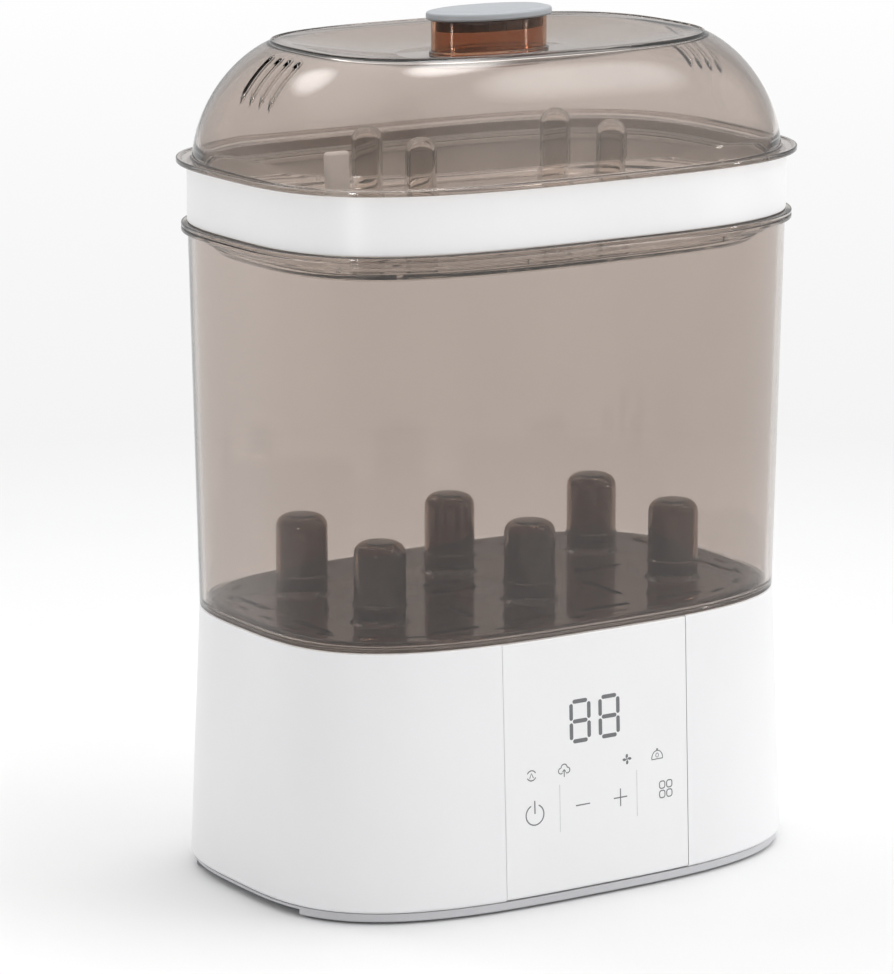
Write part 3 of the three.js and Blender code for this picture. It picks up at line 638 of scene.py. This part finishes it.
def hoop(points, width):
    """A printed closed line round a convex loop."""
    p = np.asarray(points, float)
    tangent = np.roll(p, -1, 0) - np.roll(p, 1, 0)
    tangent /= np.linalg.norm(tangent, axis=1)[:, None]
    normal = np.stack([tangent[:, 1], -tangent[:, 0]], 1) * width / 2
    return banded(p + normal, p - normal)


def arc(x, z, radius, start, end, count=20, tall=1.0):
    """Points of an arc, angles in degrees, counted anticlockwise from +x."""
    t = np.radians(np.linspace(start, end, count))
    return np.stack([x + radius * np.cos(t), z + radius * tall * np.sin(t)], 1)


def soft_box(x, z, wide, tall, radius):
    """A rounded rectangle about x, z."""
    u, v = wide / 2, tall / 2
    signs = ((-1, -1), (1, -1), (1, 1), (-1, 1))
    return np.array(rounded([(x + i * u, z + k * v, radius) for i, k in signs], True, 5))


def digit_eight(x0, x1, z0, z1, width=1.85, inset=1.75):
    """The seven strokes of a display digit."""
    u, v = x0 + width / 2, x1 - width / 2
    low, mid, high = z0 + width / 2, (z0 + z1) / 2, z1 - width / 2
    lines = [[(u + inset, z), (v - inset, z)] for z in (low, mid, high)]
    for x in (u, v):
        lines.append([(x, low + inset), (x, mid - inset * 0.85)])
        lines.append([(x, mid + inset * 0.85), (x, high - inset)])
    return [stroke(line, width) for line in lines]


def prints():
    line = 0.5
    digits = digit_eight(-15.2, -3.9, 71.9, 91.7) + digit_eight(0.3, 11.7, 71.9, 91.7)
    piece = make("display_digits", *digits)
    dress(piece, "base", PRINT)

    keys = [
        stroke(arc(-34.15, 42.7, 4.6, 118, 422, 40), line * 1.15),
        stroke([(-34.15, 43.4), (-34.15, 48.9)], line * 1.15),
        stroke([(-12.3, 43.6), (-5.2, 43.6)], line * 1.1),
        stroke([(8.1, 43.7), (14.9, 43.7)], line * 1.1),
        stroke([(11.5, 39.9), (11.5, 47.5)], line * 1.1),
    ]
    for x in (34.5, 38.5):
        for z in (41.6, 45.9):
            keys.append(hoop(soft_box(x, z, 3.0, 3.3, 1.1), line))
    dress(make("key_symbols", *keys), "base", PRINT)

    icons = [
        # automatic cycle: two arcs round a small peak
        stroke(arc(-35.6, 60.6, 2.3, 30, 150, 14), line),
        stroke(arc(-35.6, 60.6, 2.3, 210, 330, 14), line),
        stroke([(-36.5, 59.6), (-35.6, 61.7), (-34.7, 59.6)], line * 0.8),
        # steam: a three-lobed cloud with an arrow rising out of it
        stroke(
            np.concatenate(
                [
                    arc(-20.2, 60.5, 1.3, 300, 95, 12),
                    arc(-18.5, 61.8, 1.6, 175, 5, 12),
                    arc(-16.8, 60.5, 1.3, 85, -120, 12),
                ]
            ),
            line * 0.9,
        ),
        stroke([(-18.5, 57.8), (-18.5, 60.9)], line * 0.9),
        stroke([(-19.3, 60.0), (-18.5, 60.9), (-17.7, 60.0)], line * 0.8),
        # drying: fan
        filled(arc(15.3, 60.6, 0.42, 0, 340, 12)),
        # warm storage: dome with a drop
        stroke(arc(31.9, 58.6, 3.0, 0, 180, 20, 1.15), line * 0.85),
        stroke([(28.9, 58.2), (34.9, 58.2)], line * 0.85),
        filled(arc(31.9, 62.6, 0.5, 0, 340, 12)),
        hoop(arc(31.9, 59.9, 0.75, 0, 345, 20, 1.25), line * 0.6),
    ]
    for k in range(4):
        lean = math.radians(90 * k + 80)
        c, s = math.cos(lean), math.sin(lean)
        blade = arc(0, 0, 1.0, 0, 340, 14) * [0.98, 0.62] + [1.4, 0.34]
        icons.append(filled(blade @ np.array([[c, s], [-s, c]]) + [15.3, 60.6]))
    dress(make("mode_symbols", *icons), "base", PRINT)

    rules = [stroke([(-21.0, 33.0), (-21.0, 54.3)], 0.3), stroke([(20.5, 33.8), (20.5, 54.8)], 0.3)]
    dress(make("panel_rules", *rules), "base", FAINT)


# ---------------------------------------------------------------- underside and rear
def plinth():
    low, high = corners("base_plate")
    a = high[0]
    profile = [
        (a - 4, 2.6, 0),
        (a - 4, low[2], 0.3),
        (a, low[2], 1.0),
        (a, high[2], 0.3),
        (a - 6, high[2], 0),
    ]
    plate = make("plinth", oval(profile, n=3.15))
    ends = []
    for side in (-1, 1):
        x0, x1 = sorted((side * 114, side * 150))
        ends.append(block(x0, x1, -44.9, 44.9, -2, 3.7))
    slots = [slot(FAN_X + d, 0, 30 - abs(d) * 0.4, 3.2, -2, 8, math.pi / 2) for d in (-18, -9, 0, 9, 18)]
    holes = []
    for sx in (-1, 1):
        for sy in (-1, 1):
            x, y = sx * 90, sy * 66
            holes.append(turned([(0, -2, 0), (2.1, -2, 0), (2.1, 8, 0), (0, 8, 0)], x, y, 32))
    cut(plate, *ends)
    cut(plate, *slots, *holes)
    dress(plate, "base", PLINTH, ["base_plate"])
    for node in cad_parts:
        if node.startswith("foot_"):
            low, high = corners(node)
            middle = (low + high) / 2
            r = (high[0] - low[0]) / 2
            profile = [
                (0, 0, 0),
                (r - 3.4, 0, 0.3),
                (r - 2.6, 0.5, 0.2),
                (r - 1.2, 0.0, 0.5),
                (r, 0.9, 0.5),
                (r, high[2], 0),
                (0, high[2], 0),
            ]
            foot = make(
                node.replace("foot_", "rubber_foot_"), turned(profile, middle[0], middle[1], 48)
            )
            dress(foot, "base", RUBBER, [node])


def rear_fittings():
    low, high = corners("filter_cover")
    x0, x1, z0, z1 = low[0], high[0], low[2], high[2]
    section = rounded([(0.1, z0, 0.7), (0.1, z1, 0.7), (2.4, z1, 0), (2.4, z0, 0)], True)
    cover = make("vent_cover", skin_block(columns_of(x0, x1, 0.6, 20), section, 1))
    frame_out = block(x0 + 3, x1 - 3, 74, 86.4, z0 + 3, z1 - 3, 1.0, 1)
    join(cover, frame_out)
    cut(cover, block(x0 + 5, x1 - 5, 70, 85.4, z0 + 5, z1 - 5, 0.5, 1))
    slats = []
    z = z0 + 8
    while z < z1 - 5:
        slats.append(block(x0 + 8, x1 - 8, 78, 120, z, z + 2.4, 1.1, 1))
        z += 5
    cut(cover, *slats)
    dress(cover, "filter", WHITE, ["filter_cover"])

    low, high = corners("cord_inlet")
    x, z = (low[0] + high[0]) / 2, (low[2] + high[2]) / 2
    y = low[1]
    ring = [
        (3.4, 0, 0.3),
        (6.0, 0, 0.3),
        (6.0, 10.3, 0.2),
        (9.8, 10.3, 0.2),
        (9.8, 11.6, 0.8),
        (8.6, 12.2, 0.5),
        (4.6, 12.2, 0.5),
        (3.4, 11.2, 0.3),
    ]
    verts, faces = turned(ring, 0, 0, 64, 4, True)
    inlet = make("cord_socket", (verts[:, [0, 2, 1]] + [x, y, z], faces))
    dress(inlet, "base", SILICONE, ["cord_inlet"])


# ---------------------------------------------------------------- heater in the chamber floor
def heating_plate():
    floor = corners("heating_plate")[0][2]
    profile = [
        (0, floor, 0),
        (HEAT_R - 2.4, floor, 4),
        (HEAT_R - 0.6, DECK_Z + 2.0, 0.3),
        (56, DECK_Z + 2.0, 0.3),
        (56, DECK_Z + 2.8, 0.3),
        (HEAT_R - 1.4, DECK_Z + 2.8, 1.2),
        (HEAT_R - 3.4, floor + 0.8, 3),
        (0, floor + 0.8, 0),
    ]
    plate = make("water_plate", turned(profile, HEAT_X, 0, 128))
    dress(plate, "base", STEEL, ["heating_plate"])
    under, over = DECK_Z + GAP, DECK_Z + 1.7
    section = [
        (GASKET_R0, under, 0.4),
        (GASKET_R1, under, 0.4),
        (GASKET_R1, over, 0.5),
        (GASKET_R0, over, 0.4),
    ]
    seal = make("plate_gasket", turned(section, HEAT_X, 0, 128, 4, True))
    dress(seal, "base", SILICONE, ["plate_seal"])
    low, high = corners("air_outlet_cap")
    cap = make("splash_cap", block(low[0], high[0], low[1], high[1], low[2], high[2], 2.0))
    cut(cap, block(low[0] + 2, high[0] - 2, low[1] + 2, high[1] - 2, low[2] - 2, low[2] + 4.9, 1.0))
    z0, z1 = low[2] + 1.3, low[2] + 4.1
    louvres = [block(60, 130, y - 1.4, y + 1.4, z0, z1, 0.6, 0) for y in LOUVRES_Y]
    cut(cap, *louvres)
    dress(cap, "base", WHITE, ["air_outlet_cap"])


# ---------------------------------------------------------------- tank
def tank():
    profile = [
        (TONGUE_A, DECK_Z + GAP, 0.4),
        (TONGUE_A, SEAM_Z, 0.3),
        (SEAM_A, SEAM_Z, 0.5),
        (TANK_TOP_A - 0.05, TANK_TOP_Z - 0.5, 0.5),
        (RIM_A, TANK_TOP_Z - 0.1, 0.5),
        (RIM_A, TANK_TOP_Z + 1.4, 0.45),
        (RIM_A - 0.9, TANK_TOP_Z + 1.9, 0.25),
        (RIM_A, TANK_TOP_Z + 2.4, 0.45),
        (RIM_A, RIM_Z, 0.5),
        (TANK_TOP_A - TANK_T, RIM_Z, 0.6),
        (TONGUE_IN_A + 3.0, SEAM_Z + 3.0, 2.5),
        (TONGUE_IN_A, SEAM_Z - 0.4, 1.5),
        (TONGUE_IN_A, DECK_Z + GAP, 0.4),
    ]
    wall = make("tank_wall", oval(profile, True, steps=4))
    for x in SNAPS_X:
        half = TANK_TOP_A - SLIM
        y = half * (1 - (abs(x) / TANK_TOP_A) ** OVAL_N) ** (1 / OVAL_N)
        for side in (-1, 1):
            near, far = side * y - SNAP_Y, side * y + SNAP_Y
            tab = block(x - SNAP_X, x + SNAP_X, near, far, TANK_TOP_Z - SNAP_H, TANK_TOP_Z, 0.3)
            join(wall, tab)
    dress(wall, "tank", SMOKE, ["tank"])


def rack():
    under = RACK_Z - RACK_T
    skirt_z = DECK_Z + GAP
    profile = [
        (116, under, 0),
        (120.4, under, 0.5),
        (120.4, skirt_z, 0.3),
        (122.2, skirt_z, 0.3),
        (122.2, under, 0.3),
        (RACK_A, under, 0.5),
        (RACK_A, RACK_Z, 0.8),
        (RACK_A - 8, RACK_Z, 0),
    ]
    plate = make("rack_plate", oval(profile))
    places = [(x, y) for x in (-POST_X, 0, POST_X) for y in (-POST_Y, POST_Y)]
    bore_r = POST_R - POST_T
    bore = [(0, 112, 0), (bore_r, 112, 0), (bore_r, 130, 0), (0, 130, 0)]
    cuts = [turned(bore, x, y, 48) for x, y in places]
    for x in (-60, -20, 20, 60):
        cuts += [slot(x, y, 26, 3.4, 118, 130) for y in (-64, 0, 64)]
    for x in (-39.5, 39.5):
        cuts += [slot(x, y, 30, 3.4, 118, 130, math.pi / 2) for y in (-33, 33)]
    for x in (-108, 108):
        cuts += [slot(x, y, 28, 3.4, 118, 130, math.pi / 2) for y in (-26, 26)]
    edge = outline(EDGE_SLOT_A, EDGE_SLOT_A - SLIM, OVAL_N, EDGE_SLOTS)
    along = np.roll(edge, -1, 0) - np.roll(edge, 1, 0)
    cuts += [slot(x, y, 9, 2.2, 118, 130, math.atan2(v, u)) for (x, y), (u, v) in zip(edge, along)]
    cut(plate, *cuts)
    posts = [
        turned(
            [
                (0, POST_Z, 0),
                (POST_R, POST_Z, 5.5),
                (POST_R, RACK_Z + 9.4, 0.3),
                (POST_R + 0.7, RACK_Z + 8.7, 0.3),
                (POST_R + 0.7, RACK_Z + 7.3, 0.3),
                (POST_R, RACK_Z + 6.6, 0.3),
                (POST_R, RACK_Z + 1.6, 2.0),
                (POST_R + 2.2, RACK_Z - 0.4, 0),
                (POST_R + 2.2, RACK_Z - 1.0, 0),
                (POST_R - POST_T, RACK_Z - 1.0, 0),
                (POST_R - POST_T, POST_Z - POST_T, 3.7),
                (0, POST_Z - POST_T, 0),
            ],
            x,
            y,
            48,
        )
        for x, y in places
    ]
    join(plate, *posts)
    dress(plate, "rack", RACK, ["bottle_rack"])


# ---------------------------------------------------------------- accessory tray
def tray():
    profile = [
        (RING_A, RING_Z0, 0.8),
        (RING_A - 0.1, RING_Z1, 0.8),
        (130.9, RING_Z1, 0.3),
        (130.9, 314.5, 0.2),
        (128.9, 314.5, 0.3),
        (128.9, 312.6, 0.3),
        (130.9, 311.6, 0.3),
        (130.9, RING_Z0, 0.3),
    ]
    band = make("tray_band", oval(profile, True))
    # The band gets the lighter white, with painted light in it.
    dress(band, "tray", BAND_WHITE_WITH_PAINTED_LIGHT, ["tray_ring"])

    profile = [
        (115.8, TRAY_Z, 0),
        (120.6, TRAY_Z, 0.6),
        (123.0, TRAY_Z + 2.4, 1.4),
        (123.0, TRAY_Z + 4.4, 0.5),
        (126.2, TRAY_Z + 4.6, 0.5),
        (127.6, TRAY_Z + 6.4, 1.0),
        (128.5, 314.9, 0.4),
        (130.4, 314.9, 0.3),
        (130.4, TRAY_LIP_Z, 0.5),
        (126.5, TRAY_LIP_Z, 0.5),
        (125.3, TRAY_Z + 6.8, 1.2),
        (121.1, TRAY_Z + 6.2, 0.5),
        (120.9, TRAY_Z + 3.0, 1.0),
        (119.4, TRAY_Z + 0.9, 0),
        (115.8, TRAY_Z + 0.9, 0),
    ]
    basket = make("tray_basket", oval(profile, True))
    dress(basket, "tray", SKIRT, ["accessory_tray"])

    floor = TRAY_FLOOR_Z + TRAY_FLOOR_T
    profile = [
        (TRAY_FLOOR_A - 6, TRAY_FLOOR_Z, 0),
        (TRAY_FLOOR_A, TRAY_FLOOR_Z, 0.5),
        (TRAY_FLOOR_A, floor, 0.4),
        (TRAY_FLOOR_A - 6, floor, 0),
    ]
    plate = make("tray_plate", oval(profile))
    places = [(x, y) for x in (-PEG_X, PEG_X) for y in (-PEG_Y, PEG_Y)]
    bore = PEG_R - 1.8
    cuts = [turned([(0, 275, 0), (bore, 275, 0), (bore, 292, 0), (0, 292, 0)], x, y, 32) for x, y in places]
    for x in (-78, -26, 0, 26, 78):
        cuts += [slot(x, y, 30, 3.6, 275, 292, math.pi / 2) for y in (-34, 34)]
    cuts += [slot(x, 0, 26, 3.6, 275, 292, math.pi / 2) for x in (-52, 0, 52)]
    cut(plate, *cuts)
    pegs = [
        turned(
            [
                (0, PEG_Z, 0),
                (PEG_R, PEG_Z, 6.4),
                (PEG_R, floor + 1.0, 1.0),
                (PEG_R + 1.2, floor - 0.3, 0),
                (PEG_R + 1.2, floor - 0.8, 0),
                (bore, floor - 0.8, 0),
                (bore, PEG_Z - 1.8, 4.6),
                (0, PEG_Z - 1.8, 0),
            ],
            x,
            y,
            40,
        )
        for x, y in places
    ]
    join(plate, *pegs)
    dress(plate, "tray", SKIRT, ["tray_floor"])

    low, high = corners("tray_tab")
    x, y = (low[0] + high[0]) / 2, (low[1] + high[1]) / 2
    profile = [(0.5, low[2], 0), (0, low[2], 0.4), (0, high[2], 1.6), (2.1, high[2], 0)]
    tab = make("tray_grip", pill(high[0] - low[0], high[1] - low[1], profile, x=x, y=y))
    # The tab gets the near-full white, with a painted reflection in it.
    dress(tab, "tray", TAB_WHITE_WITH_PAINTED_REFLECTION, ["tray_tab"])


# ---------------------------------------------------------------- lid
def dome_ring(s, inset=0.0):
    """Outline of the dome at angle s, from its foot (0) to its crown (a quarter turn)."""
    w = 1 - math.cos(s) ** 1.257
    a = DOME_A * (1 - w) + DOME_TOP_A * w - inset * math.cos(s)
    b = DOME_A - SLIM - DOME_TOP_DROP * w - inset * math.cos(s)
    n = OVAL_N * (1 - w) + DOME_TOP_N * w
    z = DOME_Z + (DOME_TOP_Z - DOME_Z) * math.sin(s) ** 1.026 - inset * math.sin(s)
    return a, b, n, z


def dish_ring(t, drop=0.0):
    """Outline in the dish at share t of its edge, drop millimetres lower."""
    a, b, _, z = dome_ring(DISH_EDGE)
    fall = (max(0.0, t - DISH_FLAT) / 0.51) ** DISH_FALL
    depth = DISH_Z + (z - 0.4 - DISH_Z) * min(fall, 1.1)
    return a * t, b * t, DISH_N - 0.5 * (1 - t), depth - drop


def lid():
    flange = rounded(
        [
            (128.3, 320.0, 0),
            (128.3, 317.6, 0.3),
            (130.2, 317.6, 0.3),
            (130.4, LID_Z, 0.3),
            (FLANGE_A, LID_Z, 0.7),
            (FLANGE_A, LID_Z + FLANGE_T, 0.5),
            (FLANGE_A - 1.7, LID_Z + FLANGE_T, 0.3),
            (FLANGE_A - 2.2, LID_Z + FLANGE_T - 0.6, 0.3),
            (DOME_A + 0.1, LID_Z + FLANGE_T - 0.6, 0.8),
            (DOME_A - 0.9, LID_Z + 8, 0),
        ],
        False,
        4,
    )[:-1]
    rings = [(u, u - SLIM, OVAL_N, z) for u, z in flange]
    rings += [dome_ring(math.radians(s)) for s in np.arange(8, 75.5, 2.5)]
    a, b, _, z = dome_ring(DISH_EDGE)
    lip = rounded([(0.35, -0.4, 0), (0.0, 0.3, 0.2), (-0.5, 0.3, 0.2), (-0.9, -0.3, 0)], False, 3)
    rings += [(a + u, b + u, DISH_N, z + v) for u, v in lip]
    rings += [dish_ring(t) for t in np.linspace(0.955, DISH_FLAT, 16)]
    rings += [dish_ring(t, LID_T) for t in np.linspace(DISH_FLAT, 0.955, 16)]
    rings += [dome_ring(math.radians(s), LID_T) for s in np.arange(75, 6, -3)]
    rings = [level(outline(a, b, n), z) for a, b, n, z in rings]
    # both skins of the dish are shut with flat caps: the open end of each is its last ring
    count = len(rings[0])
    top = next(k for k, r in enumerate(rings) if abs(r[0][2] - DISH_Z) < 1e-6 and k > 20)
    flat_top = rings[: top + 1]
    inner = rings[top + 1 :]
    verts = np.concatenate(flat_top + inner)
    faces = []
    total = len(flat_top) + len(inner)
    for r in range(total):
        if r == len(flat_top) - 1:
            continue
        p, q = r * count, ((r + 1) % total) * count
        for i in range(count):
            j = (i + 1) % count
            faces.append((p + i, p + j, q + j, q + i))
    for start in ((len(flat_top) - 1) * count, len(flat_top) * count):
        faces.append(tuple(range(start, start + count)))
    piece = make("lid_dome", (verts, faces))
    middle = (VENT_X0 + VENT_X1) / 2
    places = [(side * middle, k * VENT_PITCH) for side in (-1, 1) for k in VENT_PLACES]
    length = VENT_X1 - VENT_X0
    skin = [dome_ring(math.radians(s), -RIM_RISE) for s in np.arange(20, 77, 3)]
    skin += [dome_ring(math.radians(s), LID_T / 2) for s in np.arange(74, 19, -3)]
    shell = make("vent_rims", loft([level(outline(a, b, n), z) for a, b, n, z in skin], True))
    around = length + 2 * RIM_W, VENT_W + 2 * RIM_W
    rims = make("rims", *[slot(x, y, *around, *VENT_CUT) for x, y in places])
    boolean(shell, rims, "INTERSECT")
    boolean(piece, shell, "UNION")
    cutters = [handle_block(GAP, 355, 380)]
    cutters += [slot(x, y, length, VENT_W, *VENT_CUT) for x, y in places]
    cut(piece, *cutters)
    dress(piece, "lid", SMOKE, ["lid"])


def handle_loft(profile, a=RISER_A, b=RISER_B, closed=False, steps=4):
    """Upright oval form: profile holds (inset, height, corner radius)."""
    corner = rounded(profile, closed, steps)
    rings = [level(outline(a - inset, b - inset, HANDLE_N, 128), z) for inset, z in corner]
    return loft(rings, closed)


def handle_block(margin, z0, z1):
    return handle_loft([(-margin, z0, 0), (-margin, z1, 0)])


def handle():
    low, high = corners("handle_riser")
    z0, z1 = low[2], high[2]
    foot = DISH_Z + 0.2
    outer = [
        (0, z1, 0.3),
        (0, foot + 1.2, 0.3),
        (-1.0, foot + 0.8, 0.3),
        (-1.0, foot, 0.1),
        (0, foot, 0),
        (0, z0 + 1.6, 0.4),
        (-3, z0 + 1.6, 0.3),
        (-3, z0, 0.3),
        (RISER_T, z0, 0.2),
        (RISER_T, z1, 0.3),
    ]
    riser = make("handle_stem", handle_loft(outer, closed=True))
    dress(riser, "lid", RISER, ["handle_riser"])

    low, high = corners("handle_clip")
    z0, z1 = low[2], high[2]
    inset = RISER_T + GAP
    profile = [(inset + 1, z0, 0), (inset, z0, 0.6), (inset, z1, 0.3), (inset + 1, z1, 0)]
    clip = make("handle_latch", handle_loft(profile))
    half = CLIP_GROOVE_W / 2
    for x in CLIP_GROOVES_X:
        for y0, y1 in CLIP_GROOVES_Y:
            cut(clip, block(x - half, x + half, y0, y1, z0 - 1, z1 - 0.8))
    dress(clip, "lid", CLIP, ["handle_clip"])

    low, high = corners("handle_cap")
    z0, z1 = low[2], high[2]
    top = [(3, z0, 0), (1.0, z0, 0.4), (0, z0 + 0.8, 0.6), (0, z1 - 0.9, 1.2), (4, z1, 2.5), (14.0, z1, 0)]
    cap = make("handle_top", handle_loft(top, CAP_A, CAP_B, steps=6))
    dress(cap, "lid", CAP, ["handle_cap"])


def inner_nodes():
    """Pieces shut inside the base keep their CAD shape and get their own finish."""
    finish = {
        "touch_board": BOARD,
        "led_display": DISPLAY,
        "heating_block": ALLOY,
        "heating_element": ALLOY,
        "temperature_sensor": SENSOR,
        "power_board": BOARD,
        "fan_housing": INNER,
        "fan_impeller": INNER,
        "fan_motor": MOTOR,
        "air_duct": INNER,
        "drying_heater": CERAMIC,
        "air_filter": FILTER,
    }
    for name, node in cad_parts.items():
        if node.hide_render:
            continue
        material = finish.get(name)
        if name.startswith("screw_"):
            material = SCREW
        if name.startswith("board_spacer"):
            material = INNER
        node.data.materials.clear()
        node.data.materials.append(material)


# ---------------------------------------------------------------- stage, lights and camera
FLOOR_R, FLOOR_POINTS = 9000, 96
FADE = 0.28, 0.95  # metres from the middle where the floor begins and ends to turn to plain light
GLOW, GLOW_AT = (0.90, 1.02), (0.8, 4.0)  # that light's strength, at these distances in metres


def stage_floor():
    """A pale round floor that turns to an even white backdrop away from the object."""
    t = np.linspace(0, 2 * math.pi, FLOOR_POINTS, endpoint=False)
    ring = np.stack([np.cos(t), np.sin(t)], 1) * FLOOR_R
    mesh = bpy.data.meshes.new("floor")
    mesh.from_pydata((level(ring, 0) * MM).tolist(), [], [tuple(range(FLOOR_POINTS))])
    floor = bpy.data.objects.new("floor", mesh)
    bpy.context.scene.collection.objects.link(floor)
    material, shader = new_material("floor_white")
    nodes = material.node_tree.nodes
    shader.inputs["Roughness"].default_value = 0.6
    shader.inputs["Specular IOR Level"].default_value = 0.2
    speck = noise(material, 9, 2)
    coloured(material, shader, speck, (0.815, 0.815, 0.82), (0.83, 0.83, 0.832))
    place = nodes.new("ShaderNodeTexCoord")
    length = nodes.new("ShaderNodeVectorMath")
    length.operation = "LENGTH"
    link(material, place.outputs["Object"], length.inputs[0])
    distance = length.outputs["Value"]
    far = between(material, distance, 0.0, 1.0, *FADE)
    glow = nodes.new("ShaderNodeEmission")
    glow.inputs["Color"].default_value = (1, 1, 1, 1)
    link(material, between(material, distance, *GLOW, *GLOW_AT), glow.inputs["Strength"])
    mix = nodes.new("ShaderNodeMixShader")
    link(material, far, mix.inputs[0])
    link(material, shader.outputs[0], mix.inputs[1])
    link(material, glow.outputs[0], mix.inputs[2])
    output = next(n for n in nodes if n.type == "OUTPUT_MATERIAL")
    link(material, mix.outputs[0], output.inputs["Surface"])
    mesh.materials.append(material)


def aim(thing, place, target):
    """Puts a light or camera at place, looking at target."""
    thing.location = place
    thing.rotation_euler = (Vector(target) - Vector(place)).to_track_quat("-Z", "Y").to_euler()


# (direction, half angle in degrees, strength) of the soft boxes of light round the object
SOFT_LIGHTS = [
    ((0.62, -0.55, 0.55), 52, 0.66),
    ((-0.15, 0.25, 0.95), 48, 0.80),
    ((0.29, 0.04, 0.96), 14, 7.0),
    ((-0.23, 0.66, 0.72), 13, 3.5),
    ((0.55, -0.42, 0.72), 18, 2.4),
]
AMBIENT = 0.62
# (angle in degrees from +X, distance, width, power) of the small boxes for the handle's gloss
STRIPS = [(-141, 1.0, 0.11, 1.1), (-36, 1.0, 0.04, 0.30)]
STRIP_LOW, STRIP_TALL = 0.19, 0.14


def strips():
    """Small soft boxes that only show as gloss on the handle's upright walls."""
    for k, (turn, distance, width, power) in enumerate(STRIPS):
        data = bpy.data.lights.new(f"strip_{k}", "AREA")
        data.shape = "RECTANGLE"
        data.size, data.size_y = width, STRIP_TALL
        data.energy = power
        strip = bpy.data.objects.new(f"strip_{k}", data)
        bpy.context.scene.collection.objects.link(strip)
        angle = math.radians(turn)
        height = STRIP_LOW + STRIP_TALL / 2
        aim(strip, (distance * math.cos(angle), distance * math.sin(angle), height), (0, 0, height))
        strip.visible_diffuse = False


def lights():
    """Even white surroundings with a few soft-edged bright areas in them."""
    world = bpy.data.worlds.new("studio")
    bpy.context.scene.world = world
    world.use_nodes = True
    nodes, links = world.node_tree.nodes, world.node_tree.links
    place = nodes.new("ShaderNodeTexCoord")
    total = None
    for direction, spread, strength in SOFT_LIGHTS:
        facing = nodes.new("ShaderNodeVectorMath")
        facing.operation = "DOT_PRODUCT"
        facing.inputs[1].default_value = Vector(direction).normalized()
        links.new(place.outputs["Generated"], facing.inputs[0])
        soft = nodes.new("ShaderNodeMapRange")
        soft.interpolation_type = "SMOOTHSTEP"
        edge = math.cos(math.radians(spread))
        for socket, value in zip(soft.inputs[1:5], (edge, 1.0, 0.0, strength)):
            socket.default_value = value
        links.new(facing.outputs["Value"], soft.inputs["Value"])
        plus = nodes.new("ShaderNodeMath")
        plus.operation = "ADD"
        plus.inputs[1].default_value = AMBIENT
        if total is not None:
            links.new(total, plus.inputs[1])
        links.new(soft.outputs[0], plus.inputs[0])
        total = plus.outputs[0]
    background = nodes["Background"]
    background.inputs["Color"].default_value = (1, 1, 1, 1)
    links.new(total, background.inputs["Strength"])
    bpy.context.scene.view_settings.view_transform = "Standard"


LENS, SENSOR_WIDTH = 179.6, 36
CAMERA_AT, CAMERA_AIM = (-1.1848, -1.7972, 0.6439), (-0.0157, 0.0102, 0.1699)


def camera():
    data = bpy.data.cameras.new("camera")
    data.lens, data.sensor_width = LENS, SENSOR_WIDTH
    made = bpy.data.objects.new("camera", data)
    bpy.context.scene.collection.objects.link(made)
    aim(made, CAMERA_AT, CAMERA_AIM)
    bpy.context.scene.camera = made


camera()
casing()
panel()
prints()
plinth()
rear_fittings()
heating_plate()
tank()
rack()
tray()
lid()
handle()
inner_nodes()
stage_floor()
lights()
strips()
